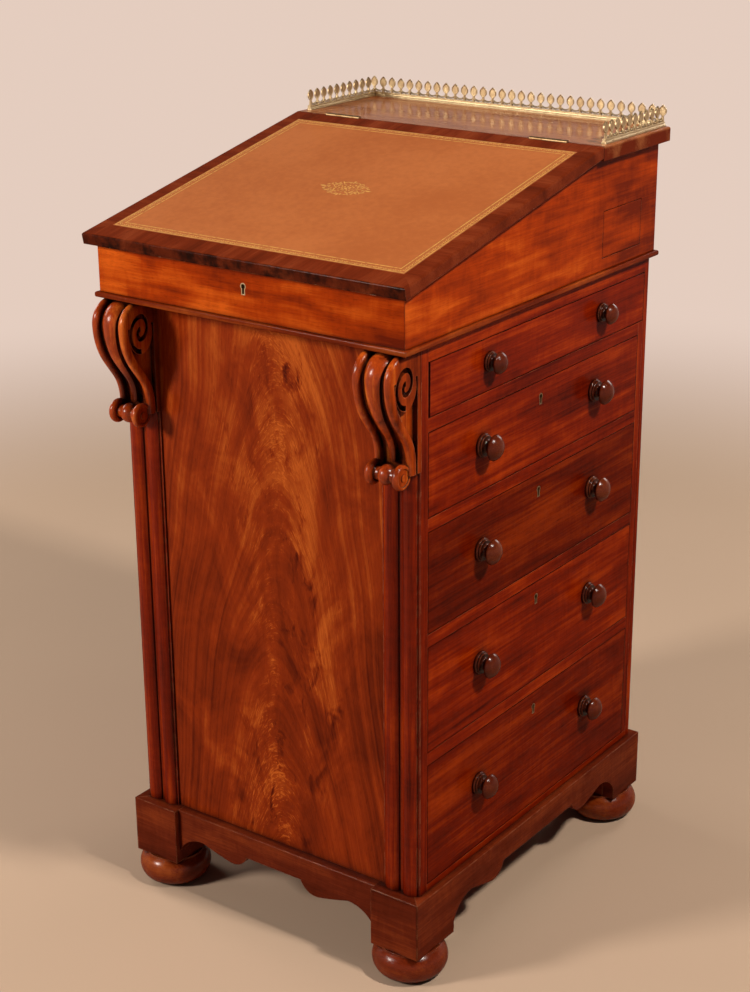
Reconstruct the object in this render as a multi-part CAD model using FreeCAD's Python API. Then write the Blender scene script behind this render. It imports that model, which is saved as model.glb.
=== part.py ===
import FreeCAD, Part
import math
import os
from FreeCAD import Vector

# A davenport desk: five drawers that open to the side, under a desk box with a sloping lid.
# Millimetres. +Z is up, the writer sits on the -Y side, the drawers open to +X.
# The origin is on the floor, in the middle of the overall width and depth.

# Driving dimensions: the top
top_width = 402.0              # lid and shelf, side to side
top_depth = 502.0              # lid's front edge to the shelf's rear edge
shelf_depth = 144.5            # fixed shelf behind the lid
shelf_thickness = 15.5
lid_thickness = 12.2
lid_fall = 74.0                # drop of the lid's upper face from the joint to its front edge
lid_front_overhang = 13.0      # lid's front edge before the desk box
shelf_overhang = 9.0           # lid and shelf beyond the desk box, at the sides and the back
top_edge_radius = 2.5
leather_thickness = 1.0
leather_border_side = 19.5
leather_border_front = 27.0
leather_border_rear = 22.0

# Driving dimensions: the desk box
desk_back_height = 121.0       # waist moulding to the shelf's underside
desk_wall = 12.0
desk_floor_thickness = 8.0
moulding_height = 6.0
moulding_projection = 4.0
moulding_width = 60.0          # strip that the desk box stands on
moulding_nose = 2.0

# Driving dimensions: the carcase
carcase_inset = 3.5            # carcase inside the desk box, at the sides and the back
knee_setback = 24.0            # pilaster fronts behind the desk box's front
pilaster_width = 44.5
pilaster_depth = 7.5
pilaster_groove = 4.5          # dark groove between the two reeds
pilaster_groove_depth = 5.5
reed_crown = 4.0
reed_margin = 2.5
panel_thickness = 12.0         # front panel and its corner stile
back_thickness = 8.5
left_side_thickness = 14.0
frame_depth = 20.0             # rails and stiles, measured inwards from the right side
rear_stile_width = 10.0
bottom_thickness = 8.0
carcase_top_thickness = 12.0
rail_height = 14.0
top_rail_height = 16.5
runner_width = 14.0

# Driving dimensions: the drawers, top drawer first
drawer_heights = [56.0, 89.0, 110.0, 118.5, 140.5]
drawer_front_thickness = 18.0
drawer_side_thickness = 8.0
drawer_bottom_thickness = 5.0
drawer_bottom_rise = 6.0       # drawer bottom above the lower edge of the sides
drawer_side_drop = 6.0         # drawer sides below the opening's top
drawer_back_drop = 10.0
drawer_rear_room = 10.0        # drawer back to the left side
drawer_gap = 0.8               # joint line round a drawer front
drawer_run_clearance = 0.5     # drawer sides above the runners
drawer_guide_clearance = 1.2   # drawer sides to the front panel and the back
top_drawer_inset = 3.0         # open strip at the top drawer's front end
dummy_depth = 6.0              # dummy drawer fronts let into the left side

# Driving dimensions: knobs
knob_spacing = 222.0
top_knob_shift = 4.5           # the top drawer's knobs sit a little further back
knob_height_share = 0.55       # of the drawer's height
knob_diameter = 28.5
top_knob_diameter = 24.0       # the top drawer's knobs are smaller
knob_projection_share = 0.82   # of its diameter
knob_collar_share = 0.84       # of its radius
knob_neck_share = 0.42
knob_rim_round_share = 0.14
knob_collar_end_share = 0.14   # of its projection
knob_head_share = 0.46
knob_rim_share = 0.6
knob_ring_share = 0.74         # second ring of the collar, share of its radius
knob_ring_end_share = 0.24     # of its projection
knob_flare_share = 0.58        # of its radius
knob_collar_swell = 1.06       # middle of the collar, share of its edge
knob_peg_diameter = 9.0
knob_peg_length = 12.0
dummy_peg_length = 4.0
glue_clearance = 0.15

# Driving dimensions: locks
keyhole_radius = 2.4
keyhole_slot = 2.6
keyhole_drop = 7.5
keyhole_lining_wall = 1.1
keyhole_below_edge = 18.0
lock_width = 44.0
lock_height = 34.0
lock_depth = 7.0
bolt_width = 16.0
bolt_thickness = 4.0
bolt_length = 13.0
bolt_throw = 8.0
bolt_clearance = 0.4
mortise_clearance = 1.0

# Driving dimensions: lid lock
lid_lock_width = 62.0
lid_lock_depth = 9.0
link_plate_length = 60.0
link_plate_depth = 9.0
link_plate_thickness = 1.5
hook_spacing = 26.0
hook_width = 6.0
hook_thickness = 1.8
hook_drop = 14.0
hook_lip = 3.0
hook_mouth = 5.0
hook_mouth_depth = 4.2
lid_bolt_throw = 5.0
lid_bolt_bar_height = 6.0
lid_bolt_stem = 4.0
lid_bolt_gap = 1.0             # tongue to hook when unlocked
lock_wall = 1.2
lid_keyhole_share = 0.62       # keyhole's level, share of the desk front's height

# Driving dimensions: plinth and feet
foot_height = 36.0
foot_diameter = 82.0
foot_inset = 30.5              # foot's centre inside the plinth's faces
foot_bottom_radius = 27.0
foot_neck_radius = 33.0
foot_neck_height = 2.0
foot_belly_share = 0.48        # widest level, share of its height
foot_peg_diameter = 18.0
foot_peg_length = 22.0
plinth_height = 67.0
plinth_thickness = 15.0
plinth_side_projection = 8.5
plinth_end_projection = 10.5
plinth_block_width = 60.0
apron_recess = 6.5             # front apron behind the blocks
side_foot_front = 69.0
side_foot_rear = 58.0
cove_rise = 14.0               # shaped lower edge, heights above the plinth's underside
cusp_run = 36.0
cusp_rise = 35.5
lobe_run = 76.0
lobe_rise = 25.0
flat_run = 99.0
flat_rise = 39.0
cove_bulge_run = 0.28          # middle of the cove, shares of the cusp's run and rise
cove_bulge_rise = 0.76
lobe_sag = 0.98                # middle of the lobe, share of the mean of cusp and lobe
end_curve_run = 0.68           # middle of the last curve, shares of its run and rise
end_curve_rise = 0.3
back_arch_rise = 30.0

# Driving dimensions: scroll corbels
corbel_height = 140.5
corbel_width = 45.5
corbel_reach = 7.25            # volutes before the lid's front edge
volute_top_radius = 25.0       # over the foremost point
volute_share = 0.5906          # radius under it, share of the room for the curve down to the neck
neck_share = 0.3661            # radius of the neck, share of the same room
neck_reach = 9.3               # neck before the pilaster's front
neck_above_foot = 28.0
corbel_bead = 9.0
corbel_bead_round = 4.2
corbel_reed = 22.5             # tongue down the middle, at the top
corbel_reed_end = 6.0          # the same at the neck
corbel_reed_crown = 0.2        # rise of its crown, share of its width
corbel_hollow = 7.0
corbel_band = 7.5              # scroll's band, seen from the side
corbel_back_strip = 6.5        # left at full width along the pilaster
corbel_web_inset = 6.0         # web behind the band, inside the scroll's sides
roll_radius = 13.0
roll_inset = 3.5               # roll's ends inside the scroll's sides
roll_reach = 16.75             # roll's centre before the pilaster's front
roll_above_foot = 17.5
roll_bead = 7.0
roll_ball = 14.0
roll_ball_radius = 10.4
roll_groove = 6.0
roll_eye = 3.6
roll_ring = 2.2
roll_ring_depth = 1.0
spiral_radius = 21.0
spiral_narrowing = 0.8         # the volute is taller than it is deep
spiral_back = 26.0             # its centre behind the foremost point
spiral_below_top = 33.5
spiral_step = 6.5
spiral_groove = 5.2
spiral_depth = 5.0
spiral_rim = 0.6               # left standing outside the groove
spiral_half_turns = 3

# Driving dimensions: brass gallery
gallery_side_inset = 9.5       # rail's centre line inside the shelf's edges
gallery_back_inset = 4.0
gallery_front_room = 17.0      # front ends behind the joint
gallery_rail_width = 6.0
gallery_rail_height = 5.2
gallery_rail_neck = 3.2
gallery_sheet = 1.8
leaf_pitch = 12.9
leaf_width = 8.8
leaf_height = 12.5
leaf_foot = 5.4                # leaf's foot above the rail
link_width = 1.5
rail_step_share = 0.3          # of the rail's height
rail_cove_share = 0.62
rail_hollow_share = 0.25       # of the rail's step
rail_hollow_rise = 0.3
leaf_widest_share = 0.34       # of the leaf's height
leaf_low_width = 0.82          # points on the leaf's outline, shares of its width and height
leaf_low_rise = 0.12
leaf_high_width = 0.66
leaf_high_rise = 0.7

# Driving dimensions: lid hinges
hinge_length = 46.0
hinge_spacing = 269.0
hinge_knuckle_radius = 2.2
hinge_pin_radius = 1.1
hinge_pin_clearance = 0.05
hinge_leaf = 1.2
hinge_leaf_drop = 10.5
hinge_clearance = 0.4
joint_gap = 0.8                # lid to shelf
lid_clearance = 0.5            # lid above the desk walls

# Driving dimensions: pen drawer and inside drawers
pen_from_back = 33.5           # pen drawer's opening from the desk's back face
pen_width = 83.0
pen_height = 51.0
pen_rise = 13.5                # opening above the desk's lower edge
pen_end_room = 60.0            # pen drawer's end to the left wall
pen_wall = 5.0
pen_gap = 0.6
tunnel_board = 5.0
inner_depth = 96.0
inner_height = 40.0
inner_wall = 5.0
inner_front = 7.0
inner_gap = 0.8
inner_board = 6.0
inner_knob_diameter = 11.0
inner_knob_peg = 4.0
inner_knob_peg_length = 5.0

# Planes from left to right
half_top = top_width / 2
half_desk = half_top - shelf_overhang
half_carcase = half_desk - carcase_inset
half_plinth = half_carcase + plinth_side_projection
frame_inner = half_carcase - frame_depth
left_inner = left_side_thickness - half_carcase

# Planes from front to back
foot_behind = foot_diameter / 2 - foot_inset + plinth_end_projection - carcase_inset - shelf_overhang
total_depth = corbel_reach + top_depth + foot_behind
rear = total_depth / 2 - foot_behind
lid_front = rear - top_depth
shelf_front = rear - shelf_depth
hinge_y = shelf_front - joint_gap / 2
desk_back = rear - shelf_overhang
desk_front = lid_front + lid_front_overhang
carcase_back = desk_back - carcase_inset
back_inner = carcase_back - back_thickness
pilaster_front = desk_front + knee_setback
panel_front = pilaster_front + pilaster_depth
panel_back = panel_front + panel_thickness
drawer_end = back_inner - rear_stile_width
plinth_front = pilaster_front - plinth_end_projection
plinth_rear = carcase_back + plinth_end_projection

# Planes from bottom to top
plinth_top = foot_height + plinth_height
carcase_floor = plinth_top + bottom_thickness
rails_between = rail_height * (len(drawer_heights) - 1)
top_rail_bottom = carcase_floor + sum(drawer_heights) + rails_between
carcase_top = top_rail_bottom + top_rail_height
desk_base = carcase_top + moulding_height
desk_floor = desk_base + desk_floor_thickness
shelf_bottom = desk_base + desk_back_height
shelf_top = shelf_bottom + shelf_thickness

# Lid slope
lid_run = hinge_y - lid_front
lid_angle = math.atan2(lid_fall, lid_run)
lid_length = math.hypot(lid_run, lid_fall)

x_axis = Vector(1, 0, 0)
y_axis = Vector(0, 1, 0)
z_axis = Vector(0, 0, 1)
centre = Vector(0, 0, 0)


def box(x0, x1, y0, y1, z0, z1):
    return Part.makeBox(x1 - x0, y1 - y0, z1 - z0, Vector(x0, y0, z0))


def moved(shape, x, y, z):
    copy = shape.copy()
    copy.translate(Vector(x, y, z))
    return copy


def mirrored(shape):
    return shape.mirror(centre, x_axis)


def line(a, b):
    return Part.LineSegment(a, b).toShape()


def arc(a, b, c):
    return Part.Arc(a, b, c).toShape()


def face_of(edges):
    return Part.Face(Part.Wire(edges))


def polygon(points):
    return Part.Face(Part.makePolygon(points + [points[0]]))


def save(name, solids):
    shape = solids[0] if len(solids) == 1 else Part.makeCompound(solids)
    shape.exportStep("parts/" + name + ".step")


def drawer_levels():
    # Lower and upper edge of each drawer opening, top drawer first.
    levels = []
    upper = top_rail_bottom
    for height in drawer_heights:
        levels.append((upper - height, upper))
        upper -= height + rail_height
    return levels


def on_lid(shape):
    # From the lid's own flat frame, hinge line at the origin, to its closed place.
    shape.rotate(centre, x_axis, math.degrees(lid_angle))
    shape.translate(Vector(0, hinge_y, shelf_top))
    return shape


def above_lid_underside():
    # Everything over the closed lid's underside, less the lid's clearance.
    reach = lid_length + shelf_depth
    lowest = -lid_thickness - lid_clearance
    return on_lid(box(-top_width, top_width, -2 * reach, reach, lowest, top_depth))


def lid_upper_face(y):
    return shelf_top - (hinge_y - y) * math.tan(lid_angle)


def lid_underside(y):
    return lid_upper_face(y) - lid_thickness / math.cos(lid_angle)


def keyhole(grow, length):
    # Keyhole cutter along +X from the origin, its round eye at the origin.
    eye = Part.makeCylinder(keyhole_radius + grow, length, centre, x_axis)
    half = keyhole_slot / 2 + grow
    slot = box(0, length, -half, half, -keyhole_drop - grow, 0)
    return eye.fuse(slot).removeSplitter()


def shaped_edge(length, start, along, depth):
    # Cutter for a plinth board's shaped lower edge: coves, cusps and lobes, the same from both ends.
    def at(run, rise):
        return start + along * run + z_axis * rise

    def half(run_of):
        start = at(run_of(0), cove_rise)
        bulge = at(run_of(cusp_run * cove_bulge_run), cusp_rise * cove_bulge_rise)
        cusp = at(run_of(cusp_run), cusp_rise)
        sag = at(run_of((cusp_run + lobe_run) / 2), (cusp_rise + lobe_rise) / 2 * lobe_sag)
        lobe = at(run_of(lobe_run), lobe_rise)
        bend_run = lobe_run + (flat_run - lobe_run) * end_curve_run
        bend = at(run_of(bend_run), lobe_rise + (flat_rise - lobe_rise) * end_curve_rise)
        end = at(run_of(flat_run), flat_rise)
        return [arc(start, bulge, cusp), arc(cusp, sag, lobe), arc(lobe, bend, end)]

    edges = [line(at(0, -foot_height), at(0, cove_rise))]
    edges += half(lambda run: run)
    edges += [line(at(flat_run, flat_rise), at(length - flat_run, flat_rise))]
    edges += half(lambda run: length - run)
    edges += [line(at(length, cove_rise), at(length, -foot_height))]
    edges += [line(at(length, -foot_height), at(0, -foot_height))]
    return Part.Face(Part.Wire(Part.__sortEdges__(edges))).extrude(depth)


def foot_places():
    places = []
    for side in (-1, 1):
        for y in (plinth_front + foot_inset, plinth_rear - foot_inset):
            places.append((side * (half_plinth - foot_inset), y))
    return places


def make_feet():
    radius = foot_diameter / 2
    belly = foot_height * foot_belly_share
    shoulder = foot_height - foot_neck_height
    peg = foot_peg_diameter / 2
    top = foot_height + foot_peg_length
    edges = [
        line(Vector(0, 0, 0), Vector(foot_bottom_radius, 0, 0)),
        arc(Vector(foot_bottom_radius, 0, 0), Vector(radius, 0, belly),
            Vector(foot_neck_radius, 0, shoulder)),
        line(Vector(foot_neck_radius, 0, shoulder), Vector(foot_neck_radius, 0, foot_height)),
        line(Vector(foot_neck_radius, 0, foot_height), Vector(peg, 0, foot_height)),
        line(Vector(peg, 0, foot_height), Vector(peg, 0, top)),
        line(Vector(peg, 0, top), Vector(0, 0, top)),
        line(Vector(0, 0, top), Vector(0, 0, 0)),
    ]
    foot = face_of(edges).revolve(centre, z_axis, 360)
    save("bun_feet", [moved(foot, x, y, 0) for x, y in foot_places()])


def make_plinth():
    inner = half_plinth - plinth_thickness
    block_inner = half_plinth - plinth_block_width
    side_plan = polygon([
        Vector(half_plinth, plinth_front, foot_height),
        Vector(half_plinth, plinth_rear, foot_height),
        Vector(inner, plinth_rear, foot_height),
        Vector(inner, plinth_front + plinth_thickness, foot_height),
    ])
    side = side_plan.extrude(z_axis * plinth_height)
    shaped_length = plinth_rear - plinth_front - side_foot_front - side_foot_rear
    start = Vector(inner, plinth_front + side_foot_front, foot_height)
    side = side.cut(shaped_edge(shaped_length, start, y_axis, x_axis * plinth_thickness))
    save("plinth_sides", [side, mirrored(side)])

    apron_face = plinth_front + apron_recess
    apron_back = apron_face + plinth_thickness
    apron = box(-block_inner, block_inner, apron_face, apron_back, foot_height, plinth_top)
    start = Vector(-block_inner, apron_face, foot_height)
    apron = apron.cut(shaped_edge(2 * block_inner, start, x_axis, y_axis * plinth_thickness))
    save("plinth_front", [apron])

    back_inner_face = plinth_rear - plinth_thickness
    back = box(-inner, inner, back_inner_face, plinth_rear, foot_height, plinth_top)
    arch_top = foot_height + back_arch_rise
    arch = box(-block_inner, block_inner, back_inner_face, plinth_rear, foot_height, arch_top)
    save("plinth_back", [back.cut(arch)])

    peg_hole = Part.makeCylinder(foot_peg_diameter / 2 + glue_clearance, foot_peg_length + glue_clearance)
    front_end = plinth_front + side_foot_front
    front_block = box(block_inner, half_plinth, plinth_front, front_end, foot_height, plinth_top)
    front_block = front_block.cut(side)
    rear_start = plinth_rear - side_foot_rear
    rear_block = box(block_inner, inner, rear_start, back_inner_face, foot_height, plinth_top)
    blocks = []
    for block, (x, y) in zip((front_block, rear_block), foot_places()[2:]):
        block = block.cut(moved(peg_hole, x, y, foot_height))
        blocks += [block, mirrored(block)]
    save("plinth_blocks", blocks)


def make_carcase_boards():
    bottom = box(left_inner, half_carcase, panel_back, back_inner, plinth_top, carcase_floor)
    save("carcase_bottom", [bottom])
    back = box(-half_carcase, half_carcase, back_inner, carcase_back, plinth_top, carcase_top)
    save("carcase_back", [back])
    panel = box(-half_carcase, frame_inner, panel_front, panel_back, plinth_top, carcase_top)
    save("front_panel", [panel])
    top_bottom = carcase_top - carcase_top_thickness
    top = box(left_inner, frame_inner, panel_back, back_inner, top_bottom, carcase_top)
    save("carcase_top", [top])

    side = box(-half_carcase, left_inner, panel_back, back_inner, plinth_top, carcase_top)
    fronts = []
    for low, high in drawer_levels():
        pocket = box(-half_carcase, dummy_depth - half_carcase, panel_back, drawer_end, low, high)
        front = box(-half_carcase, dummy_depth - half_carcase, panel_back + drawer_gap,
                    drawer_end - drawer_gap, low + drawer_gap, high - drawer_gap)
        for x, y, z in knob_places(low, high, lock_middle()):
            hole = Part.makeCylinder(knob_peg_diameter / 2 + glue_clearance, dummy_depth)
            hole.rotate(centre, y_axis, 90)
            front = front.cut(moved(hole, -half_carcase, y, z))
        side = side.cut(pocket)
        fronts.append(front)
    save("carcase_left_side", [side])
    save("dummy_fronts", fronts)


def make_drawer_frame():
    levels = drawer_levels()
    front_stile = box(frame_inner, half_carcase, panel_front, panel_back, plinth_top, carcase_top)
    second_top = levels[1][1]
    stile_top = second_top + rail_height
    rear_stile = box(frame_inner, half_carcase, drawer_end, back_inner, carcase_floor, stile_top)
    save("drawer_stiles", [front_stile, rear_stile])

    rails = [box(frame_inner, half_carcase, panel_back, back_inner, top_rail_bottom, carcase_top)]
    runners = []
    for low, high in levels[:-1]:
        rail = box(frame_inner, half_carcase, panel_back, drawer_end, low - rail_height, low)
        rails.append(rail.cut(bolt_mortise(low - rail_height)))
        for y0, y1 in ((panel_back, panel_back + runner_width), (back_inner - runner_width, back_inner)):
            runners.append(box(left_inner, frame_inner, y0, y1, low - rail_height, low))
    save("drawer_rails", rails)
    save("drawer_runners", runners)


def pilaster_section(x0):
    back = panel_front
    base = panel_front - (pilaster_depth - pilaster_groove_depth)
    shoulder = pilaster_front + reed_crown
    reed = (pilaster_width - pilaster_groove - 2 * reed_margin) / 2
    first = x0 + reed_margin
    second = first + reed + pilaster_groove
    end = x0 + pilaster_width

    def at(x, y):
        return Vector(x, y, plinth_top)

    edges = [line(at(x0, back), at(x0, base)), line(at(x0, base), at(first, base))]
    for start in (first, second):
        edges.append(line(at(start, base), at(start, shoulder)))
        crown = at(start + reed / 2, pilaster_front)
        edges.append(arc(at(start, shoulder), crown, at(start + reed, shoulder)))
        edges.append(line(at(start + reed, shoulder), at(start + reed, base)))
        edges.append(line(at(start + reed, base), at(second if start == first else end, base)))
    edges.append(line(at(end, base), at(end, back)))
    edges.append(line(at(end, back), at(x0, back)))
    return face_of(edges)


def make_pilasters():
    height = carcase_top - corbel_height + roll_above_foot - plinth_top
    right = pilaster_section(half_carcase - pilaster_width).extrude(z_axis * height)
    save("pilasters", [right, mirrored(right)])


def corbel_curve(x, inset):
    # Edges down the scroll's front at x, drawn in by the inset: crown, volute, tangent and hollow neck.
    foremost = lid_front - corbel_reach
    level = carcase_top - volute_top_radius
    crown_y = foremost + volute_top_radius
    neck = pilaster_front - neck_reach
    hollow_z = carcase_top - corbel_height + neck_above_foot
    run = neck - foremost
    room = (run ** 2 + (level - hollow_z) ** 2) / (2 * run)
    volute_radius = room * volute_share
    neck_radius = room * neck_share
    volute_y = foremost + volute_radius
    hollow_y = neck - neck_radius
    away = math.atan2(hollow_z - level, hollow_y - volute_y)
    distance = math.hypot(hollow_z - level, hollow_y - volute_y)
    turn = away - math.acos((volute_radius + neck_radius) / distance) + 2 * math.pi

    def round_point(y, z, radius, angle):
        return Vector(x, y + radius * math.cos(angle), z + radius * math.sin(angle))

    def on_crown(angle):
        return round_point(crown_y, level, volute_top_radius - inset, angle)

    def on_volute(angle):
        return round_point(volute_y, level, volute_radius - inset, angle)

    def in_hollow(angle):
        return round_point(hollow_y, hollow_z, neck_radius + inset, angle)

    top = math.pi / 2
    front = math.pi
    release = turn - math.pi
    return [
        arc(on_crown(top), on_crown((top + front) / 2), on_crown(front)),
        arc(on_volute(front), on_volute((front + turn) / 2), on_volute(turn)),
        line(on_volute(turn), in_hollow(release)),
        arc(in_hollow(release), in_hollow(release / 2), in_hollow(0)),
    ]


def start_of(edges):
    return edges[0].valueAt(edges[0].FirstParameter)


def end_of(edges):
    return edges[-1].valueAt(edges[-1].LastParameter)


def corbel_outline(x, inset):
    # Side outline of the scroll at x, drawn in by the inset along its front.
    roll_z = carcase_top - corbel_height + roll_above_foot
    neck = pilaster_front - neck_reach + inset
    curve = corbel_curve(x, inset)
    corners = [
        end_of(curve),
        Vector(x, neck, roll_z),
        Vector(x, panel_front, roll_z),
        Vector(x, panel_front, carcase_top - inset),
        start_of(curve),
    ]
    return face_of(curve + [line(a, b) for a, b in zip(corners, corners[1:])])


def corbel_spandrel(x, direction):
    # Cutter for the recess between the scroll's band, its volute and the pilaster.
    curve = corbel_curve(x, corbel_band)[1:]
    first = start_of(curve)
    last = end_of(curve)
    back = panel_front - corbel_back_strip
    roll_z = carcase_top - corbel_height + roll_above_foot
    corners = [
        last,
        Vector(x, last.y, roll_z),
        Vector(x, back, roll_z),
        Vector(x, back, first.z),
        first,
    ]
    face = face_of(curve + [line(a, b) for a, b in zip(corners, corners[1:])])
    recess = face.extrude(x_axis * (direction * corbel_web_inset))
    disc = Part.makeCylinder(spiral_radius + spiral_rim, corbel_web_inset, centre, x_axis * direction)
    return recess.cut(moved(narrowed(disc), x, volute_middle().y, volute_middle().z))


def volute_middle():
    return Vector(0, lid_front - corbel_reach + spiral_back, carcase_top - spiral_below_top)


def narrowed(shape):
    narrow = FreeCAD.Matrix()
    narrow.scale(1, spiral_narrowing, 1)
    return shape.transformGeometry(narrow)


def corbel_tongue(x):
    # The crowned tongue down the scroll's front, wide at the top and narrow at the neck.
    curve = corbel_curve(x, 0)
    inward = corbel_hollow + corbel_reed_crown

    def section(origin, outward, width):
        half = width / 2
        crown = origin
        shoulder = origin - outward * (width * corbel_reed_crown)
        root = origin - outward * (width * corbel_reed_crown + inward)
        left = x_axis * -half
        right = x_axis * half
        return Part.Wire([
            arc(shoulder + left, crown, shoulder + right),
            line(shoulder + right, root + right),
            line(root + right, root + left),
            line(root + left, shoulder + left),
        ])

    sweep = Part.BRepOffsetAPI.MakePipeShell(Part.Wire(curve))
    sweep.setBiNormalMode(x_axis)
    sweep.add(section(start_of(curve), z_axis, corbel_reed))
    sweep.add(section(end_of(curve), y_axis * -1, corbel_reed_end))
    sweep.build()
    sweep.makeSolid()
    return sweep.shape()


def corbel_strip(x0, x1, round_over):
    # One raised strip down the front of the scroll, its two long edges rounded.
    strip = corbel_outline(x0, 0).extrude(x_axis * (x1 - x0))
    behind = pilaster_front - neck_reach
    edges = []
    for edge in strip.Edges:
        ends = [vertex.Point for vertex in edge.Vertexes]
        flat = abs(ends[0].x - ends[-1].x) < glue_clearance
        before = max(point.y for point in ends) < behind + glue_clearance
        curved = ends[0].distanceToPoint(ends[-1]) > glue_clearance
        long_edge = min(point.z for point in ends) > carcase_top - corbel_height + roll_above_foot
        if flat and before and curved and long_edge:
            edges.append(edge)
    return strip.makeFillet(round_over, edges)


def spiral_cutter(x, direction):
    # Volute groove of half circles that shrink step by step, from the recess below up round the front.
    z = 0
    outer = []
    inner = []
    radius = spiral_radius
    upward = 1
    for _ in range(spiral_half_turns):
        for edges, r in ((outer, radius), (inner, radius - spiral_groove)):
            start = Vector(0, 0, z - upward * r)
            edges.append(arc(start, Vector(0, -upward * r, z), Vector(0, 0, z + upward * r)))
        z += upward * spiral_step
        radius -= spiral_step
        upward = -upward
    first = line(outer[0].Vertexes[0].Point, inner[0].Vertexes[0].Point)
    last = line(outer[-1].Vertexes[-1].Point, inner[-1].Vertexes[-1].Point)
    wire = Part.Wire(Part.__sortEdges__(outer + [last] + inner + [first]))
    groove = narrowed(Part.Face(wire).extrude(x_axis * (direction * spiral_depth)))
    return moved(groove, x, volute_middle().y, volute_middle().z)


def corbel_roll(x0, x1):
    # The small roll at the scroll's foot: a disc at each end and a ball in the middle.
    y = pilaster_front - roll_reach
    z = carcase_top - corbel_height + roll_above_foot
    low = roll_radius - roll_groove
    middle = (x0 + x1) / 2
    half_ball = roll_ball / 2
    shoulder = roll_radius - roll_bead / 4

    def at(x, r):
        return Vector(x, y, z + r)

    edges = [
        line(at(x0, 0), at(x0, shoulder)),
        arc(at(x0, shoulder), at(x0 + roll_bead / 2, roll_radius), at(x0 + roll_bead, low)),
        line(at(x0 + roll_bead, low), at(middle - half_ball, low)),
        arc(at(middle - half_ball, low), at(middle, roll_ball_radius), at(middle + half_ball, low)),
        line(at(middle + half_ball, low), at(x1 - roll_bead, low)),
        arc(at(x1 - roll_bead, low), at(x1 - roll_bead / 2, roll_radius), at(x1, shoulder)),
        line(at(x1, shoulder), at(x1, 0)),
        line(at(x1, 0), at(x0, 0)),
    ]
    roll = face_of(edges).revolve(Vector(0, y, z), x_axis, 360)
    for x, direction in ((x0, 1), (x1, -1)):
        inward = x_axis * direction
        ring = Part.makeCylinder(shoulder - roll_ring, roll_ring_depth, Vector(x, y, z), inward)
        ring = ring.cut(Part.makeCylinder(roll_eye, roll_ring_depth, Vector(x, y, z), inward))
        roll = roll.cut(ring)
    return roll


def make_corbels():
    x1 = half_carcase + (corbel_width - pilaster_width) / 2
    x0 = x1 - corbel_width
    core = corbel_outline(x0, corbel_hollow).extrude(x_axis * corbel_width)
    beads = [corbel_strip(x0, x0 + corbel_bead, corbel_bead_round)]
    beads.append(corbel_strip(x1 - corbel_bead, x1, corbel_bead_round))
    roll = corbel_roll(x0 + roll_inset, x1 - roll_inset)
    scroll = core.multiFuse(beads + [corbel_tongue((x0 + x1) / 2)])
    for x, direction in ((x0, 1), (x1, -1)):
        scroll = scroll.cut(corbel_spandrel(x, direction)).cut(spiral_cutter(x, direction))
    scroll = scroll.fuse(roll).removeSplitter()
    save("corbels", [scroll, mirrored(scroll)])


def knob_places(low, high, middle):
    z = low + (high - low) * knob_height_share
    return [(half_carcase, middle - knob_spacing / 2, z), (half_carcase, middle + knob_spacing / 2, z)]


def turned_knob(diameter, peg_diameter, peg_length):
    # A turned knob along +X: collar on the plane x = 0, hollow neck, domed head, peg behind.
    radius = diameter / 2
    reach = diameter * knob_projection_share
    collar = radius * knob_collar_share
    collar_end = reach * knob_collar_end_share
    ring = radius * knob_ring_share
    ring_end = reach * knob_ring_end_share
    neck = radius * knob_neck_share
    flare = radius * knob_flare_share
    head = reach * knob_head_share
    rim = reach * knob_rim_share
    peg = peg_diameter / 2
    dome_centre = (reach ** 2 - rim ** 2 - radius ** 2) / (2 * (reach - rim))
    dome = reach - dome_centre
    half_angle = math.atan2(radius, rim - dome_centre) / 2

    def at(x, r):
        return Vector(x, 0, r)

    on_dome = at(dome_centre + dome * math.cos(half_angle), dome * math.sin(half_angle))
    edges = [
        line(at(-peg_length, 0), at(-peg_length, peg)),
        line(at(-peg_length, peg), at(0, peg)),
        line(at(0, peg), at(0, collar)),
        arc(at(0, collar), at(collar_end / 2, collar * knob_collar_swell), at(collar_end, collar)),
        line(at(collar_end, collar), at(collar_end, ring)),
        arc(at(collar_end, ring), at((collar_end + ring_end) / 2, ring * knob_collar_swell), at(ring_end, ring)),
        line(at(ring_end, ring), at(ring_end, flare)),
        arc(at(ring_end, flare), at((ring_end + head) / 2, neck), at(head, flare)),
        line(at(head, flare), at(rim, radius)),
        arc(at(rim, radius), on_dome, at(reach, 0)),
        line(at(reach, 0), at(-peg_length, 0)),
    ]
    knob = face_of(edges).revolve(centre, x_axis, 360)
    rims = [edge for edge in knob.Edges if abs(edge.BoundBox.ZLength - diameter) < glue_clearance]
    return knob.makeFillet(radius * knob_rim_round_share, rims)


def make_dummy_knobs():
    knobs = []
    for number, (low, high) in enumerate(drawer_levels()):
        diameter = top_knob_diameter if number == 0 else knob_diameter
        knob = mirrored(turned_knob(diameter, knob_peg_diameter, dummy_peg_length))
        for x, y, z in knob_places(low, high, lock_middle()):
            knobs.append(moved(knob, -x, y, z))
    save("dummy_knobs", knobs)


def lock_middle():
    return (panel_back + drawer_end) / 2


def lock_front():
    return half_carcase - drawer_front_thickness + lock_depth


def bolt_centre():
    return half_carcase - drawer_front_thickness + lock_depth / 2


def bolt_mortise(bottom):
    # Mortise in the rail above a drawer, its mouth at the rail's lower edge.
    half_x = bolt_thickness / 2 + mortise_clearance
    half_y = bolt_width / 2 + mortise_clearance
    x = bolt_centre()
    y = lock_middle()
    depth = bolt_throw + mortise_clearance
    return box(x - half_x, x + half_x, y - half_y, y + half_y, bottom, bottom + depth)


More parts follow.
